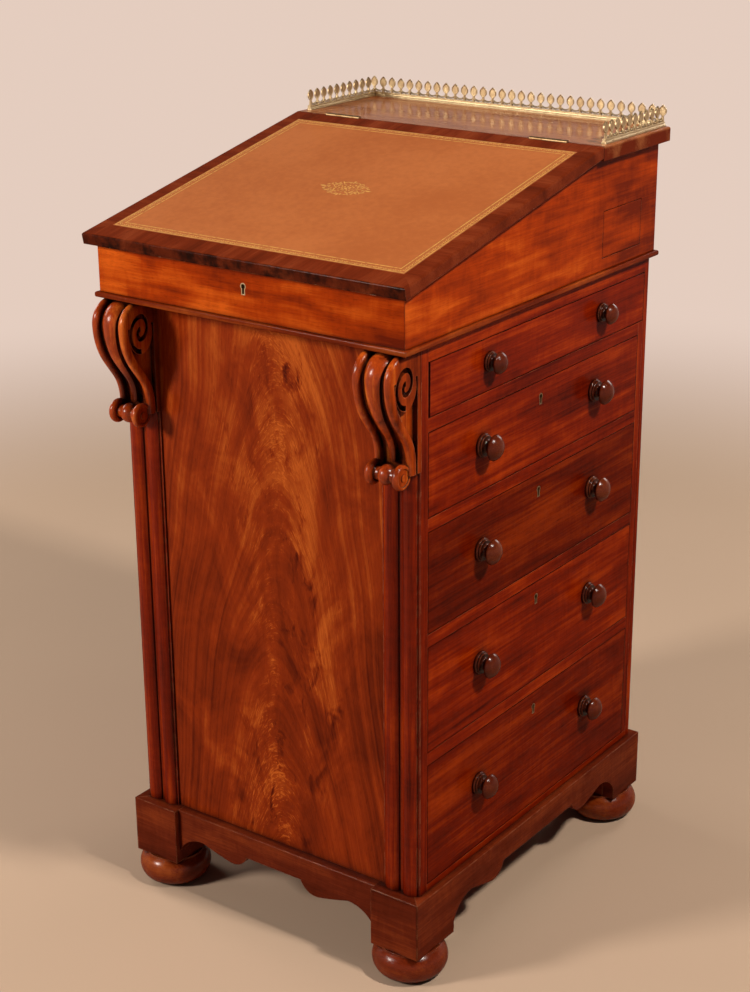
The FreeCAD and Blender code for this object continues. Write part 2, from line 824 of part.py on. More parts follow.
def make_drawer(number, low, high):
    name = "drawer_%d_" % (number + 1)
    is_top = number == 0
    has_lock = not is_top
    x0 = half_carcase - drawer_front_thickness
    y0 = panel_back + (top_drawer_inset if is_top else drawer_gap)
    y1 = (back_inner if is_top else drawer_end) - drawer_gap
    z1 = high - drawer_gap
    front = box(x0, half_carcase, y0, y1, low + drawer_gap, z1)
    knobs = []
    diameter = top_knob_diameter if is_top else knob_diameter
    knob = turned_knob(diameter, knob_peg_diameter, knob_peg_length)
    knob_middle = (y0 + y1) / 2 + (top_knob_shift if is_top else 0)
    hole_depth = knob_peg_length + glue_clearance
    hole = Part.makeCylinder(knob_peg_diameter / 2 + glue_clearance, hole_depth, centre, x_axis * -1)
    for x, y, z in knob_places(low, high, knob_middle):
        knobs.append(moved(knob, x, y, z))
        front = front.cut(moved(hole, x, y, z))
    if has_lock:
        front = front.cut(make_drawer_lock(name, z1))
    save(name + "front", [front])
    save(name + "knobs", knobs)

    side_low = low + drawer_run_clearance
    side_high = high - drawer_side_drop
    left = left_inner + drawer_rear_room
    a = panel_back + (top_drawer_inset if is_top else drawer_guide_clearance)
    d = back_inner - drawer_guide_clearance if is_top else drawer_end - drawer_guide_clearance
    b = a + drawer_side_thickness
    c = d - drawer_side_thickness
    floor = side_low + drawer_bottom_rise
    base = floor + drawer_bottom_thickness
    save(name + "box", [
        box(left, x0, a, b, side_low, side_high),
        box(left, x0, c, d, side_low, side_high),
        box(left, x0, b, c, floor, base),
        box(left, left + drawer_side_thickness, b, c, base, high - drawer_back_drop),
    ])


def make_drawer_lock(name, top):
    # Saves the lock and its bolt, and returns what the drawer front loses to them.
    x0 = half_carcase - drawer_front_thickness
    x1 = lock_front()
    y = lock_middle()
    half = lock_width / 2
    case = box(x0, x1, y - half, y + half, top - lock_height, top)
    recess = case
    x = bolt_centre()
    half_x = bolt_thickness / 2
    half_y = bolt_width / 2
    bolt = box(x - half_x, x + half_x, y - half_y, y + half_y, top - bolt_length, top)
    slot = box(x - half_x - bolt_clearance, x + half_x + bolt_clearance, y - half_y - bolt_clearance,
               y + half_y + bolt_clearance, top - bolt_length - bolt_clearance, top)
    eye_z = top + drawer_gap - keyhole_below_edge
    wood = half_carcase - x1
    outside = moved(keyhole(keyhole_lining_wall, wood), x1, y, eye_z)
    inside = moved(keyhole(0, wood), x1, y, eye_z)
    key_way = moved(keyhole(0, lock_depth), x0, y, eye_z)
    save(name + "lock", [case.cut(slot).cut(key_way), outside.cut(inside)])
    save(name + "bolt", [bolt])
    return recess.fuse(outside)


def make_moulding():
    outer_x = half_desk + moulding_projection
    front = desk_front - moulding_projection
    back = desk_back + moulding_projection
    inner_x = outer_x - moulding_width

    def strip(points):
        solid = polygon([Vector(x, y, carcase_top) for x, y in points]).extrude(z_axis * moulding_height)
        nose = []
        for edge in solid.Edges:
            ends = [vertex.Point for vertex in edge.Vertexes]
            level = abs(ends[0].z - ends[1].z) < glue_clearance
            outside = all(
                abs(abs(point.x) - outer_x) < glue_clearance
                or abs(point.y - front) < glue_clearance
                or abs(point.y - back) < glue_clearance
                for point in ends
            )
            diagonal = min(abs(ends[0].x - ends[1].x), abs(ends[0].y - ends[1].y)) > glue_clearance
            if level and outside and not diagonal:
                nose.append(edge)
        return solid.makeFillet(moulding_nose, nose)

    front_in = front + moulding_width
    back_in = back - moulding_width
    right = strip([(outer_x, front), (outer_x, back), (inner_x, back_in), (inner_x, front_in)])
    near = strip([(-outer_x, front), (outer_x, front), (inner_x, front_in), (-inner_x, front_in)])
    far = strip([(-outer_x, back), (outer_x, back), (inner_x, back_in), (-inner_x, back_in)])
    save("waist_moulding", [right, mirrored(right), near, far])


def pen_opening():
    y1 = desk_back - pen_from_back
    y0 = y1 - pen_width
    z0 = desk_base + pen_rise
    return y0, y1, z0, z0 + pen_height


def make_desk_box():
    inner_x = half_desk - desk_wall
    inner_front = desk_front + desk_wall
    inner_back = desk_back - desk_wall
    over = above_lid_underside()
    save("desk_bottom", [box(-inner_x, inner_x, inner_front, inner_back, desk_base, desk_floor)])
    save("desk_back", [box(-inner_x, inner_x, inner_back, desk_back, desk_base, shelf_bottom)])

    side_plan = polygon([
        Vector(half_desk, desk_front, desk_base),
        Vector(half_desk, desk_back, desk_base),
        Vector(inner_x, desk_back, desk_base),
        Vector(inner_x, inner_front, desk_base),
    ])
    side = side_plan.extrude(z_axis * desk_back_height).cut(over)
    y0, y1, z0, z1 = pen_opening()
    save("desk_left_side", [mirrored(side)])
    save("desk_right_side", [side.cut(box(inner_x, half_desk, y0, y1, z0, z1))])

    front_plan = polygon([
        Vector(-half_desk, desk_front, desk_base),
        Vector(half_desk, desk_front, desk_base),
        Vector(inner_x, inner_front, desk_base),
        Vector(-inner_x, inner_front, desk_base),
    ])
    front = front_plan.extrude(z_axis * desk_back_height).cut(over)
    case, outside, lining = lid_lock_shapes()
    front = front.cut(lock_recess()).cut(outside)
    save("desk_front", [front])
    save("lid_lock", [case.cut(over), lining])


def lock_case_box():
    # The lid lock's outside: let into the inner face of the desk front, up to the lid.
    y1 = desk_front + desk_wall
    top = lid_underside(desk_front)
    half = lid_lock_width / 2
    return -half, half, y1 - lid_lock_depth, y1, top - lock_height, top


def lock_recess():
    x0, x1, y0, y1, z0, z1 = lock_case_box()
    return box(x0, x1, y0, y1, z0, z1 + lock_height)


def lid_lock_shapes():
    x0, x1, y0, y1, z0, z1 = lock_case_box()
    case = box(x0, x1, y0, y1, z0, z1 + lock_height)
    hollow = box(x0 + lock_wall, x1 - lock_wall, y0 + lock_wall, y1 - lock_wall, z0 + lock_wall,
                 z1 + lock_height)
    eye_z = desk_base + (lid_underside(desk_front) - desk_base) * lid_keyhole_share
    wood = y0 - desk_front
    turn_to_front = 90
    outside = keyhole(keyhole_lining_wall, wood)
    inside = keyhole(0, wood + lock_wall)
    placed = []
    for shape in (outside, inside):
        shape.rotate(centre, z_axis, turn_to_front)
        placed.append(moved(shape, 0, desk_front, eye_z))
    return case.cut(hollow).cut(placed[1]), placed[0], placed[0].cut(placed[1])


def hook_box():
    # Where the hooks hang from the lid into the lock: front, back, bottom and top.
    y = desk_front + desk_wall - lock_wall - bolt_clearance
    underside = lid_underside(y)
    return y - hook_thickness, y, underside - hook_drop, underside


def make_lid_lock_moving():
    hook_y0, hook_y1, hook_low, underside = hook_box()
    hooks = []
    tongues = []
    mouth_low = hook_low + hook_lip
    mouth_high = mouth_low + hook_mouth
    case_bottom = lock_case_box()[4]
    bar_low = case_bottom + lock_wall + bolt_clearance
    for side in (-1, 1):
        left = side * hook_spacing / 2 - hook_width / 2
        hook_top = underside + link_plate_thickness
        hook = box(left, left + hook_width, hook_y0, hook_y1, hook_low, hook_top)
        mouth = box(left, left + hook_mouth_depth, hook_y0, hook_y1, mouth_low, mouth_high)
        hooks.append(hook.cut(mouth))
        tip = left - lid_bolt_gap
        stem_right = left - lid_bolt_throw - bolt_clearance
        stem_left = stem_right - lid_bolt_stem
        tongue_low = mouth_low + bolt_clearance
        tongue_high = mouth_high - bolt_clearance
        tongues.append(box(stem_left, stem_right, hook_y0, hook_y1, bar_low, tongue_high))
        tongues.append(box(stem_right, tip, hook_y0, hook_y1, tongue_low, tongue_high))
    first = -hook_spacing / 2 - hook_width / 2 - lid_bolt_throw - bolt_clearance - lid_bolt_stem
    last = first + hook_spacing
    bar = box(first, last, hook_y0, hook_y1, bar_low, bar_low + lid_bolt_bar_height)
    bolt = bar.multiFuse(tongues).removeSplitter()
    save("lid_lock_bolt", [bolt])

    half = link_plate_length / 2
    middle = lid_rear_to((hook_y0 + hook_y1) / 2)
    reach = link_plate_depth / 2
    plate = on_lid(box(-half, half, -middle - reach, reach - middle, -lid_thickness,
                       link_plate_thickness - lid_thickness))
    trimmed = [hook.cut(above_plate()) for hook in hooks]
    save("lock_link_plate", [plate.multiFuse(trimmed).removeSplitter()])
    return plate


def lid_rear_to(y):
    # Distance down the slope from the hinge line to the lid's underside above y.
    return (hinge_y - y) / math.cos(lid_angle) + lid_thickness * math.tan(lid_angle)


def above_plate():
    reach = lid_length + shelf_depth
    level = link_plate_thickness / 2 - lid_thickness
    return on_lid(box(-top_width, top_width, -2 * reach, reach, level, top_depth))


def make_lid(link_plate):
    board = on_lid(box(-half_top, half_top, -lid_length, lid_thickness, -lid_thickness, 0))
    board = board.cut(box(-top_width, top_width, hinge_y - joint_gap / 2, rear, 0, 2 * shelf_top))
    edges = []
    for edge in board.Edges:
        ends = [vertex.Point for vertex in edge.Vertexes]
        upper = all(abs(point.z - lid_upper_face(point.y)) < glue_clearance for point in ends)
        at_joint = all(abs(point.y - hinge_y) < joint_gap for point in ends)
        if upper and not at_joint:
            edges.append(edge)
    board = board.makeFillet(top_edge_radius, edges)
    half = half_top - leather_border_side
    leather_front = leather_border_front - lid_length
    leather = on_lid(box(-half, half, leather_front, -leather_border_rear, -leather_thickness, 0))
    board = board.cut(leather).cut(link_plate)
    for hinge in hinge_places():
        board = board.cut(moved(knuckle_room(), hinge, 0, 0))
        board = board.cut(moved(lid_leaf_blank(), hinge, 0, 0))
    save("lid_board", [board])
    save("lid_leather", [leather])


def hinge_places():
    return (-hinge_spacing / 2, hinge_spacing / 2)


def knuckle(x0, x1, radius):
    return Part.makeCylinder(radius, x1 - x0, Vector(x0, hinge_y, shelf_top), x_axis)


def knuckle_room():
    half = hinge_length / 2 + hinge_clearance
    return knuckle(-half, half, hinge_knuckle_radius + hinge_clearance)


def shelf_leaf_blank():
    half = hinge_length / 2
    return box(-half, half, shelf_front, shelf_front + hinge_leaf, shelf_top - hinge_leaf_drop, shelf_top)


def lid_leaf_blank():
    half = hinge_length / 2
    y = hinge_y - joint_gap / 2
    return box(-half, half, y - hinge_leaf, y, shelf_top - hinge_leaf_drop, shelf_top)


def make_hinges():
    half = hinge_length / 2
    third = hinge_length / 6
    bore = hinge_pin_radius + hinge_pin_clearance
    room = hinge_knuckle_radius + hinge_clearance
    middle = knuckle(-third, third, hinge_knuckle_radius)
    end_inner = third + hinge_clearance
    ends = [knuckle(-half, -end_inner, hinge_knuckle_radius)]
    ends.append(knuckle(end_inner, half, hinge_knuckle_radius))
    room_inner = third + hinge_clearance / 2
    ends_room = [knuckle(-half, -room_inner, room), knuckle(room_inner, half, room)]
    middle_room = knuckle(-end_inner, end_inner, room)
    fixed = shelf_leaf_blank().cut(middle_room).multiFuse(ends)
    fixed = fixed.cut(knuckle(-half, half, hinge_pin_radius)).removeSplitter()
    pin = knuckle(-half, half, hinge_pin_radius)
    moving = lid_leaf_blank().cut(ends_room[0]).cut(ends_room[1]).fuse(middle)
    moving = moving.cut(knuckle(-half, half, bore)).removeSplitter()
    fixed_group = []
    moving_group = []
    for hinge in hinge_places():
        fixed_group += [moved(fixed, hinge, 0, 0), moved(pin, hinge, 0, 0)]
        moving_group.append(moved(moving, hinge, 0, 0))
    save("hinge_shelf_leaves", fixed_group)
    save("hinge_lid_leaves", moving_group)


def make_shelf():
    shelf = box(-half_top, half_top, shelf_front, rear, shelf_bottom, shelf_top)
    edges = []
    for edge in shelf.Edges:
        ends = [vertex.Point for vertex in edge.Vertexes]
        upper = all(abs(point.z - shelf_top) < glue_clearance for point in ends)
        at_joint = all(abs(point.y - shelf_front) < glue_clearance for point in ends)
        if upper and not at_joint:
            edges.append(edge)
    shelf = shelf.makeFillet(top_edge_radius, edges)
    for hinge in hinge_places():
        shelf = shelf.cut(moved(knuckle_room(), hinge, 0, 0))
        shelf = shelf.cut(moved(shelf_leaf_blank(), hinge, 0, 0))
    save("top_shelf", [shelf])


def gallery_rail(length):
    # Moulded base rail along +X from the origin, on the plane z = 0.
    foot = gallery_rail_width / 2
    neck = gallery_rail_neck / 2
    step = gallery_rail_height * rail_step_share
    cove = gallery_rail_height * rail_cove_share

    def at(y, z):
        return Vector(0, y, z)

    hollow_y = neck + (foot - neck) * rail_hollow_share
    hollow_z = step + (cove - step) * rail_hollow_rise
    edges = [
        line(at(-foot, 0), at(foot, 0)),
        line(at(foot, 0), at(foot, step)),
        arc(at(foot, step), at(hollow_y, hollow_z), at(neck, cove)),
        line(at(neck, cove), at(neck, gallery_rail_height)),
        line(at(neck, gallery_rail_height), at(-neck, gallery_rail_height)),
        line(at(-neck, gallery_rail_height), at(-neck, cove)),
        arc(at(-neck, cove), at(-hollow_y, hollow_z), at(-foot, step)),
        line(at(-foot, step), at(-foot, 0)),
    ]
    return face_of(edges).extrude(x_axis * length)


def gallery_leaf():
    # A pointed leaf on the junction of two links, standing on the rail's upper face.
    half = leaf_width / 2
    stem = link_width / 2
    foot = gallery_rail_height
    base = foot + leaf_foot
    widest = base + leaf_height * leaf_widest_share
    tip = base + leaf_height
    low_x = half * leaf_low_width
    low_z = base + leaf_height * leaf_low_rise
    high_x = half * leaf_high_width
    high_z = base + leaf_height * leaf_high_rise

    def at(x, z):
        return Vector(x, -gallery_sheet / 2, z)

    edges = [
        line(at(-stem, base - link_width), at(stem, base - link_width)),
        line(at(stem, base - link_width), at(stem, base)),
        arc(at(stem, base), at(low_x, low_z), at(half, widest)),
        arc(at(half, widest), at(high_x, high_z), at(0, tip)),
        arc(at(0, tip), at(-high_x, high_z), at(-half, widest)),
        arc(at(-half, widest), at(-low_x, low_z), at(-stem, base)),
        line(at(-stem, base), at(-stem, base - link_width)),
    ]
    return face_of(edges).extrude(y_axis * gallery_sheet)


def gallery_link(pitch):
    # A hanging arc from one leaf's foot to the next, its lowest point on the rail.
    low = gallery_rail_height - link_width / 4
    high = gallery_rail_height + leaf_foot - link_width

    def at(x, z):
        return Vector(x, -gallery_sheet / 2, z)

    edges = [
        arc(at(0, high), at(pitch / 2, low), at(pitch, high)),
        line(at(pitch, high), at(pitch, high + link_width)),
        arc(at(pitch, high + link_width), at(pitch / 2, low + link_width), at(0, high + link_width)),
        line(at(0, high + link_width), at(0, high)),
    ]
    return face_of(edges).extrude(y_axis * gallery_sheet)


def make_gallery():
    half = half_top - gallery_side_inset
    back_y = rear - gallery_back_inset
    front_y = shelf_front + gallery_front_room
    side_length = back_y - front_y
    foot = gallery_rail_width / 2

    back_count = max(2, round(2 * half / leaf_pitch))
    back_pitch = 2 * half / back_count
    back_pieces = []
    for step in range(back_count):
        back_pieces.append(moved(gallery_leaf(), step * back_pitch - half, 0, 0))
        back_pieces.append(moved(gallery_link(back_pitch), step * back_pitch - half, 0, 0))
    back_pieces.append(moved(gallery_leaf(), half, 0, 0))
    back = moved(gallery_rail(2 * half + 2 * foot), -half - foot, 0, 0)
    back = back.multiFuse(back_pieces).removeSplitter()

    side_count = max(2, round(side_length / leaf_pitch))
    side_pitch = side_length / side_count
    side_pieces = []
    for step in range(side_count):
        side_pieces.append(moved(gallery_leaf(), step * side_pitch, 0, 0))
        side_pieces.append(moved(gallery_link(side_pitch), step * side_pitch, 0, 0))
    side = moved(gallery_rail(side_length + 2 * foot), -foot, 0, 0)
    side = side.multiFuse(side_pieces).removeSplitter()
    side.rotate(centre, z_axis, 90)

    back = moved(back, 0, back_y, shelf_top)
    sides = []
    for place in (-half, half):
        run = moved(side, place, front_y, shelf_top)
        keep = box(-top_width, top_width, -total_depth, back_y - foot, 0, 2 * shelf_top)
        sides.append(run.common(keep))
    save("gallery", [back] + sides)


def make_inside():
    # Pen drawer's tunnel behind, the housing of the two small drawers before it.
    inner_x = half_desk - desk_wall
    y0, y1, z0, z1 = pen_opening()
    front_wall = y0 - tunnel_board
    rear_wall = y1 + tunnel_board
    housing_front = front_wall - inner_depth
    roof = desk_floor + inner_height
    divider = inner_board / 2
    boards = [
        box(-inner_x, inner_x, y0, y1, desk_floor, z0),
        box(-inner_x, inner_x, front_wall, y0, desk_floor, z1 + tunnel_board),
        box(-inner_x, inner_x, y1, rear_wall, desk_floor, z1 + tunnel_board),
        box(-inner_x, inner_x, y0, y1, z1, z1 + tunnel_board),
        box(-divider, divider, housing_front, front_wall, desk_floor, roof),
        box(-inner_x, inner_x, housing_front, front_wall, roof, roof + inner_board),
    ]
    save("inside_partitions", boards)

    low = z0 + pen_gap
    high = z1 - pen_gap
    a = y0 + pen_gap
    d = y1 - pen_gap
    end = pen_end_room - inner_x
    b = a + pen_wall
    c = d - pen_wall
    base = low + pen_wall
    save("pen_drawer", [
        box(inner_x, half_desk, a, d, low, high),
        box(end, inner_x, a, b, low, high),
        box(end, inner_x, c, d, low, high),
        box(end, inner_x, b, c, low, base),
        box(end, end + pen_wall, b, c, base, high),
    ])

    knob = turned_knob(inner_knob_diameter, inner_knob_peg, inner_knob_peg_length)
    knob.rotate(centre, z_axis, -90)
    drawer_low = desk_floor + inner_gap
    drawer_high = roof - inner_gap
    for name, x0, x1 in (("left", -inner_x, -divider), ("right", divider, inner_x)):
        p = x0 + inner_gap
        s = x1 - inner_gap
        q = p + inner_wall
        r = s - inner_wall
        face = housing_front + inner_front
        back = front_wall - inner_gap
        base = drawer_low + inner_wall
        middle = (p + s) / 2
        height = (drawer_low + drawer_high) / 2
        hole_depth = inner_knob_peg_length + glue_clearance
        hole = Part.makeCylinder(inner_knob_peg / 2 + glue_clearance, hole_depth)
        hole.rotate(centre, x_axis, -90)
        front = box(p, s, housing_front, face, drawer_low, drawer_high)
        front = front.cut(moved(hole, middle, housing_front, height))
        save("inside_drawer_" + name, [
            front,
            box(p, q, face, back, drawer_low, drawer_high),
            box(r, s, face, back, drawer_low, drawer_high),
            box(q, r, face, back, drawer_low, base),
            box(q, r, back - inner_wall, back, base, drawer_high),
            moved(knob, middle, housing_front, height),
        ])


def main():
    os.makedirs("parts", exist_ok=True)
    make_feet()
    make_plinth()
    make_carcase_boards()
    make_drawer_frame()
    make_pilasters()
    make_corbels()
    make_dummy_knobs()
    for number, (low, high) in enumerate(drawer_levels()):
        make_drawer(number, low, high)
    make_moulding()
    make_desk_box()
    make_lid(make_lid_lock_moving())
    make_hinges()
    make_shelf()
    make_gallery()
    make_inside()


main()
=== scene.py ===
"""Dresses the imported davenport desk: polished mahogany, tooled leather, brass and a plain studio."""

import math
from functools import partial

import bmesh
import bpy
from bmesh.types import BMFace, BMVert
from bpy.props import FloatProperty, FloatVectorProperty, PointerProperty
from bpy.types import NodeSocket, Operator, Panel, PropertyGroup
from mathutils import Matrix, Vector


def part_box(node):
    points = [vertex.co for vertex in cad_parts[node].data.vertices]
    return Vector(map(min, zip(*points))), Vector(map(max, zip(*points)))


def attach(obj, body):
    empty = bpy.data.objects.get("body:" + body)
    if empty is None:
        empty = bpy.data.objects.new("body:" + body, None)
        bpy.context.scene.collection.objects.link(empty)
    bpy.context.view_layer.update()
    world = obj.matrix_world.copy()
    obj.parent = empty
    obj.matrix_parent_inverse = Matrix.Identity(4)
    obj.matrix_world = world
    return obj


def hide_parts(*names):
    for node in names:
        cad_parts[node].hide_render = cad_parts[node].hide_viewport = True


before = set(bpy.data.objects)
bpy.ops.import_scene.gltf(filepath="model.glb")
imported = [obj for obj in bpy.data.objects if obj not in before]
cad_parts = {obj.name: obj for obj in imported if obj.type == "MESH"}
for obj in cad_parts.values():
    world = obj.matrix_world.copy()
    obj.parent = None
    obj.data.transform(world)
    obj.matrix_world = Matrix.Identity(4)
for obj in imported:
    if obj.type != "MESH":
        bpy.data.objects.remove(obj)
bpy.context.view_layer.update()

bl_info = {
    "name": "Davenport desk",
    "version": (1, 0, 0),
    "blender": (4, 5, 0),
    "location": "View3D > Sidebar > Davenport",
    "description": "Finishes and fine pieces for a davenport desk",
    "category": "Object",
}

MM = 0.001
PER_MM = (1 / MM, 1 / MM, 1 / MM)


def colour(name, description, value):
    return FloatVectorProperty(
        name=name, description=description, default=value, size=3, min=0.0, max=1.0, subtype="COLOR")


def shade(piece, kind, value):
    return colour(piece + ", " + kind, "The %s tone of this wood" % kind, value)


def length(name, description, value):
    return FloatProperty(name=name, description=description, default=value, min=0.0, unit="LENGTH")


def power(name, description, value):
    return FloatProperty(name=name, description=description, default=value, min=0.0, unit="POWER")


class WoodSettings(PropertyGroup):
    """Colours of the mahogany and the lining wood."""

    case_dark: shade("Desk box", "dark", (0.135, 0.011, 0.001))
    case_mid: shade("Desk box", "middle", (0.34, 0.034, 0.001))
    case_light: shade("Desk box", "light", (0.6, 0.1, 0.007))
    drawer_dark: shade("Drawer fronts", "dark", (0.055, 0.003, 0.001))
    drawer_mid: shade("Drawer fronts", "middle", (0.185, 0.011, 0.001))
    drawer_light: shade("Drawer fronts", "light", (0.39, 0.04, 0.002))
    frame_dark: shade("Plinth", "dark", (0.04, 0.004, 0.001))
    frame_mid: shade("Plinth", "middle", (0.112, 0.0145, 0.0045))
    frame_light: shade("Plinth", "light", (0.25, 0.043, 0.01))
    scroll_dark: shade("Scrolls", "dark", (0.1, 0.01, 0.002))
    scroll_mid: shade("Scrolls", "middle", (0.34, 0.043, 0.004))
    scroll_light: shade("Scrolls", "light", (0.66, 0.16, 0.018))
    knob_dark: shade("Knobs", "dark", (0.035, 0.004, 0.001))
    knob_mid: shade("Knobs", "middle", (0.095, 0.012, 0.003))
    knob_light: shade("Knobs", "light", (0.2, 0.04, 0.01))
    lid_dark: shade("Border of the lid", "dark", (0.045, 0.006, 0.002))
    lid_mid: shade("Border of the lid", "middle", (0.14, 0.019, 0.005))
    lid_light: shade("Border of the lid", "light", (0.25, 0.05, 0.015))
    shelf_dark: shade("Shelf", "dark", (0.125, 0.014, 0.003))
    shelf_mid: shade("Shelf", "middle", (0.29, 0.09, 0.028))
    shelf_light: shade("Shelf", "light", (0.38, 0.14, 0.05))
    flame_dark: shade("Front panel", "dark", (0.075, 0.007, 0.002))
    flame_mid: shade("Front panel", "middle", (0.245, 0.028, 0.004))
    flame_light: shade("Front panel", "light", (0.5, 0.105, 0.014))
    lining_dark: shade("Linings", "dark", (0.17, 0.075, 0.028))
    lining_mid: shade("Linings", "middle", (0.36, 0.185, 0.075))
    lining_light: shade("Linings", "light", (0.5, 0.29, 0.13))
    # Colour of the lighter edges: polish worn off, and a painted highlight along edges that catch the light
    worn_and_highlight: colour("Worn edge", "Wood where the polish has rubbed off", (0.5, 0.2, 0.09))
    chipped: colour("Chipped", "Bare wood of small chips", (0.62, 0.4, 0.27))
    # Colour of the dark corners and grooves: old wax and dust, and painted shade, as round the knobs and
    # along the drawers' gaps
    grime_and_shade: colour("Grime", "Old wax and dust in the corners", (0.01, 0.003, 0.002))
    edge_round: length("Edge rounding", "Softening of the lining's edges", 0.0005)


class LeatherSettings(PropertyGroup):
    """The writing surface and its gilt tooling."""

    hide: colour("Leather", "Main colour of the leather", (0.43, 0.122, 0.026))
    hide_dark: colour("Leather dark", "Handled patches of the leather", (0.35, 0.088, 0.016))
    gilt: colour("Gilt", "Gold of the tooling", (0.66, 0.39, 0.1))
    gilt_thin: colour("Gilt thin", "Tooling where the gold has rubbed off", (0.36, 0.14, 0.03))
    line: length("Line", "Width of the gilt lines", 0.0011)
    outer_line: length("Outer line", "Outer gilt line inside the leather's edge", 0.0012)
    inner_line: length("Inner line", "Inner gilt line inside the leather's edge", 0.0088)
    motif: length("Motif", "Spacing of the small leaves between the lines", 0.0056)
    lift: length("Lift", "Height of the tooling above the leather", 0.00012)


class GallerySettings(PropertyGroup):
    """The pierced brass gallery."""

    rail_width: length("Rail width", "Foot of the rail", 0.006)
    rail_height: length("Rail height", "Height of the rail", 0.0052)
    leaf_pitch: length("Leaf spacing", "Aim for the distance from leaf to leaf", 0.0129)
    leaf_width: length("Leaf width", "Width of a leaf", 0.009)
    leaf_foot: length("Leaf foot", "Foot of a leaf above the rail", 0.0054)
    sheet: length("Thickness", "Thickness of a leaf", 0.0018)
    rim: length("Rim", "Raised rim of a leaf", 0.0011)
    link: length("Link", "Thickness of the hanging links", 0.0025)


class MetalSettings(PropertyGroup):
    """Brass and steel."""

    brass: colour("Brass", "Clean brass", (0.52, 0.4, 0.23))
    brass_dark: colour("Brass dark", "Toned brass in the hollows", (0.22, 0.12, 0.05))
    steel: colour("Steel", "Lock bolts", (0.52, 0.51, 0.49))


class StageSettings(PropertyGroup):
    """Camera, floor and lamps."""

    floor: colour("Floor", "Plain pale floor round the desk", (0.5, 0.36, 0.26))
    far: colour("Background", "Pale floor far behind the desk", (0.78, 0.61, 0.52))
    focal: FloatProperty(name="Focal length", description="Lens for a 36 mm long side", default=69.676)
    key_power: power("Key lamp", "Power of the lamp on the right", 60.0)
    fill_power: power("Fill lamp", "Power of the lamp in front", 76.0)
    rear_power: power("Rear lamp", "Power of the lamps on the left and behind", 26.0)
    sky: FloatProperty(name="Sky", description="Even light from all round", default=0.06)


def settings():
    return bpy.context.scene.davenport


def add_object(name, data):
    made = bpy.data.objects.new(name, data)
    bpy.context.scene.collection.objects.link(made)
    return made


class Nodes:
    """A node tree, built socket by socket."""

    def __init__(self, tree):
        self.tree = tree
        tree.nodes.clear()

    def node(self, kind, values=None, **options):
        made = self.tree.nodes.new(kind)
        for key, value in options.items():
            setattr(made, key, value)
        for socket, value in (values or {}).items():
            self.feed(made.inputs[socket], value)
        return made

    def feed(self, socket, value):
        if isinstance(value, NodeSocket):
            self.tree.links.new(value, socket)
        elif socket.type == "RGBA" and len(value) == 3:
            socket.default_value = (*value, 1.0)
        else:
            socket.default_value = value

    def sum(self, kind, a, b=0.0, c=0.0):
        return self.node("ShaderNodeMath", {0: a, 1: b, 2: c}, operation=kind).outputs[0]

    def times(self, a, b):
        return self.sum("MULTIPLY", a, b)

    def less(self, a, b):
        return self.sum("SUBTRACT", a, b)

    def line(self, value, slope, level):
        return self.sum("MULTIPLY_ADD", value, slope, level)

    def total(self, start, *layers):
        """A start value and, added to it, each layer times its share."""
        for layer, share in layers:
            start = self.line(layer, share, start)
        return start

    def spread(self, value, low, high, to_low=0.0, to_high=1.0):
        values = {"Value": value, "From Min": low, "From Max": high, "To Min": to_low, "To Max": to_high}
        return self.node("ShaderNodeMapRange", values, interpolation_type="SMOOTHSTEP").outputs["Result"]

    def parts(self, vector):
        made = self.node("ShaderNodeSeparateXYZ", {"Vector": vector})
        return made.outputs[0], made.outputs[1], made.outputs[2]

    def seen(self):
        """One where the point is seen, straight or mirrored, and nought for its light on the desk."""
        path = self.node("ShaderNodeLightPath").outputs
        direct = self.sum("MAXIMUM", path["Is Camera Ray"], path["Is Glossy Ray"])
        return self.sum("MAXIMUM", direct, path["Is Transmission Ray"])


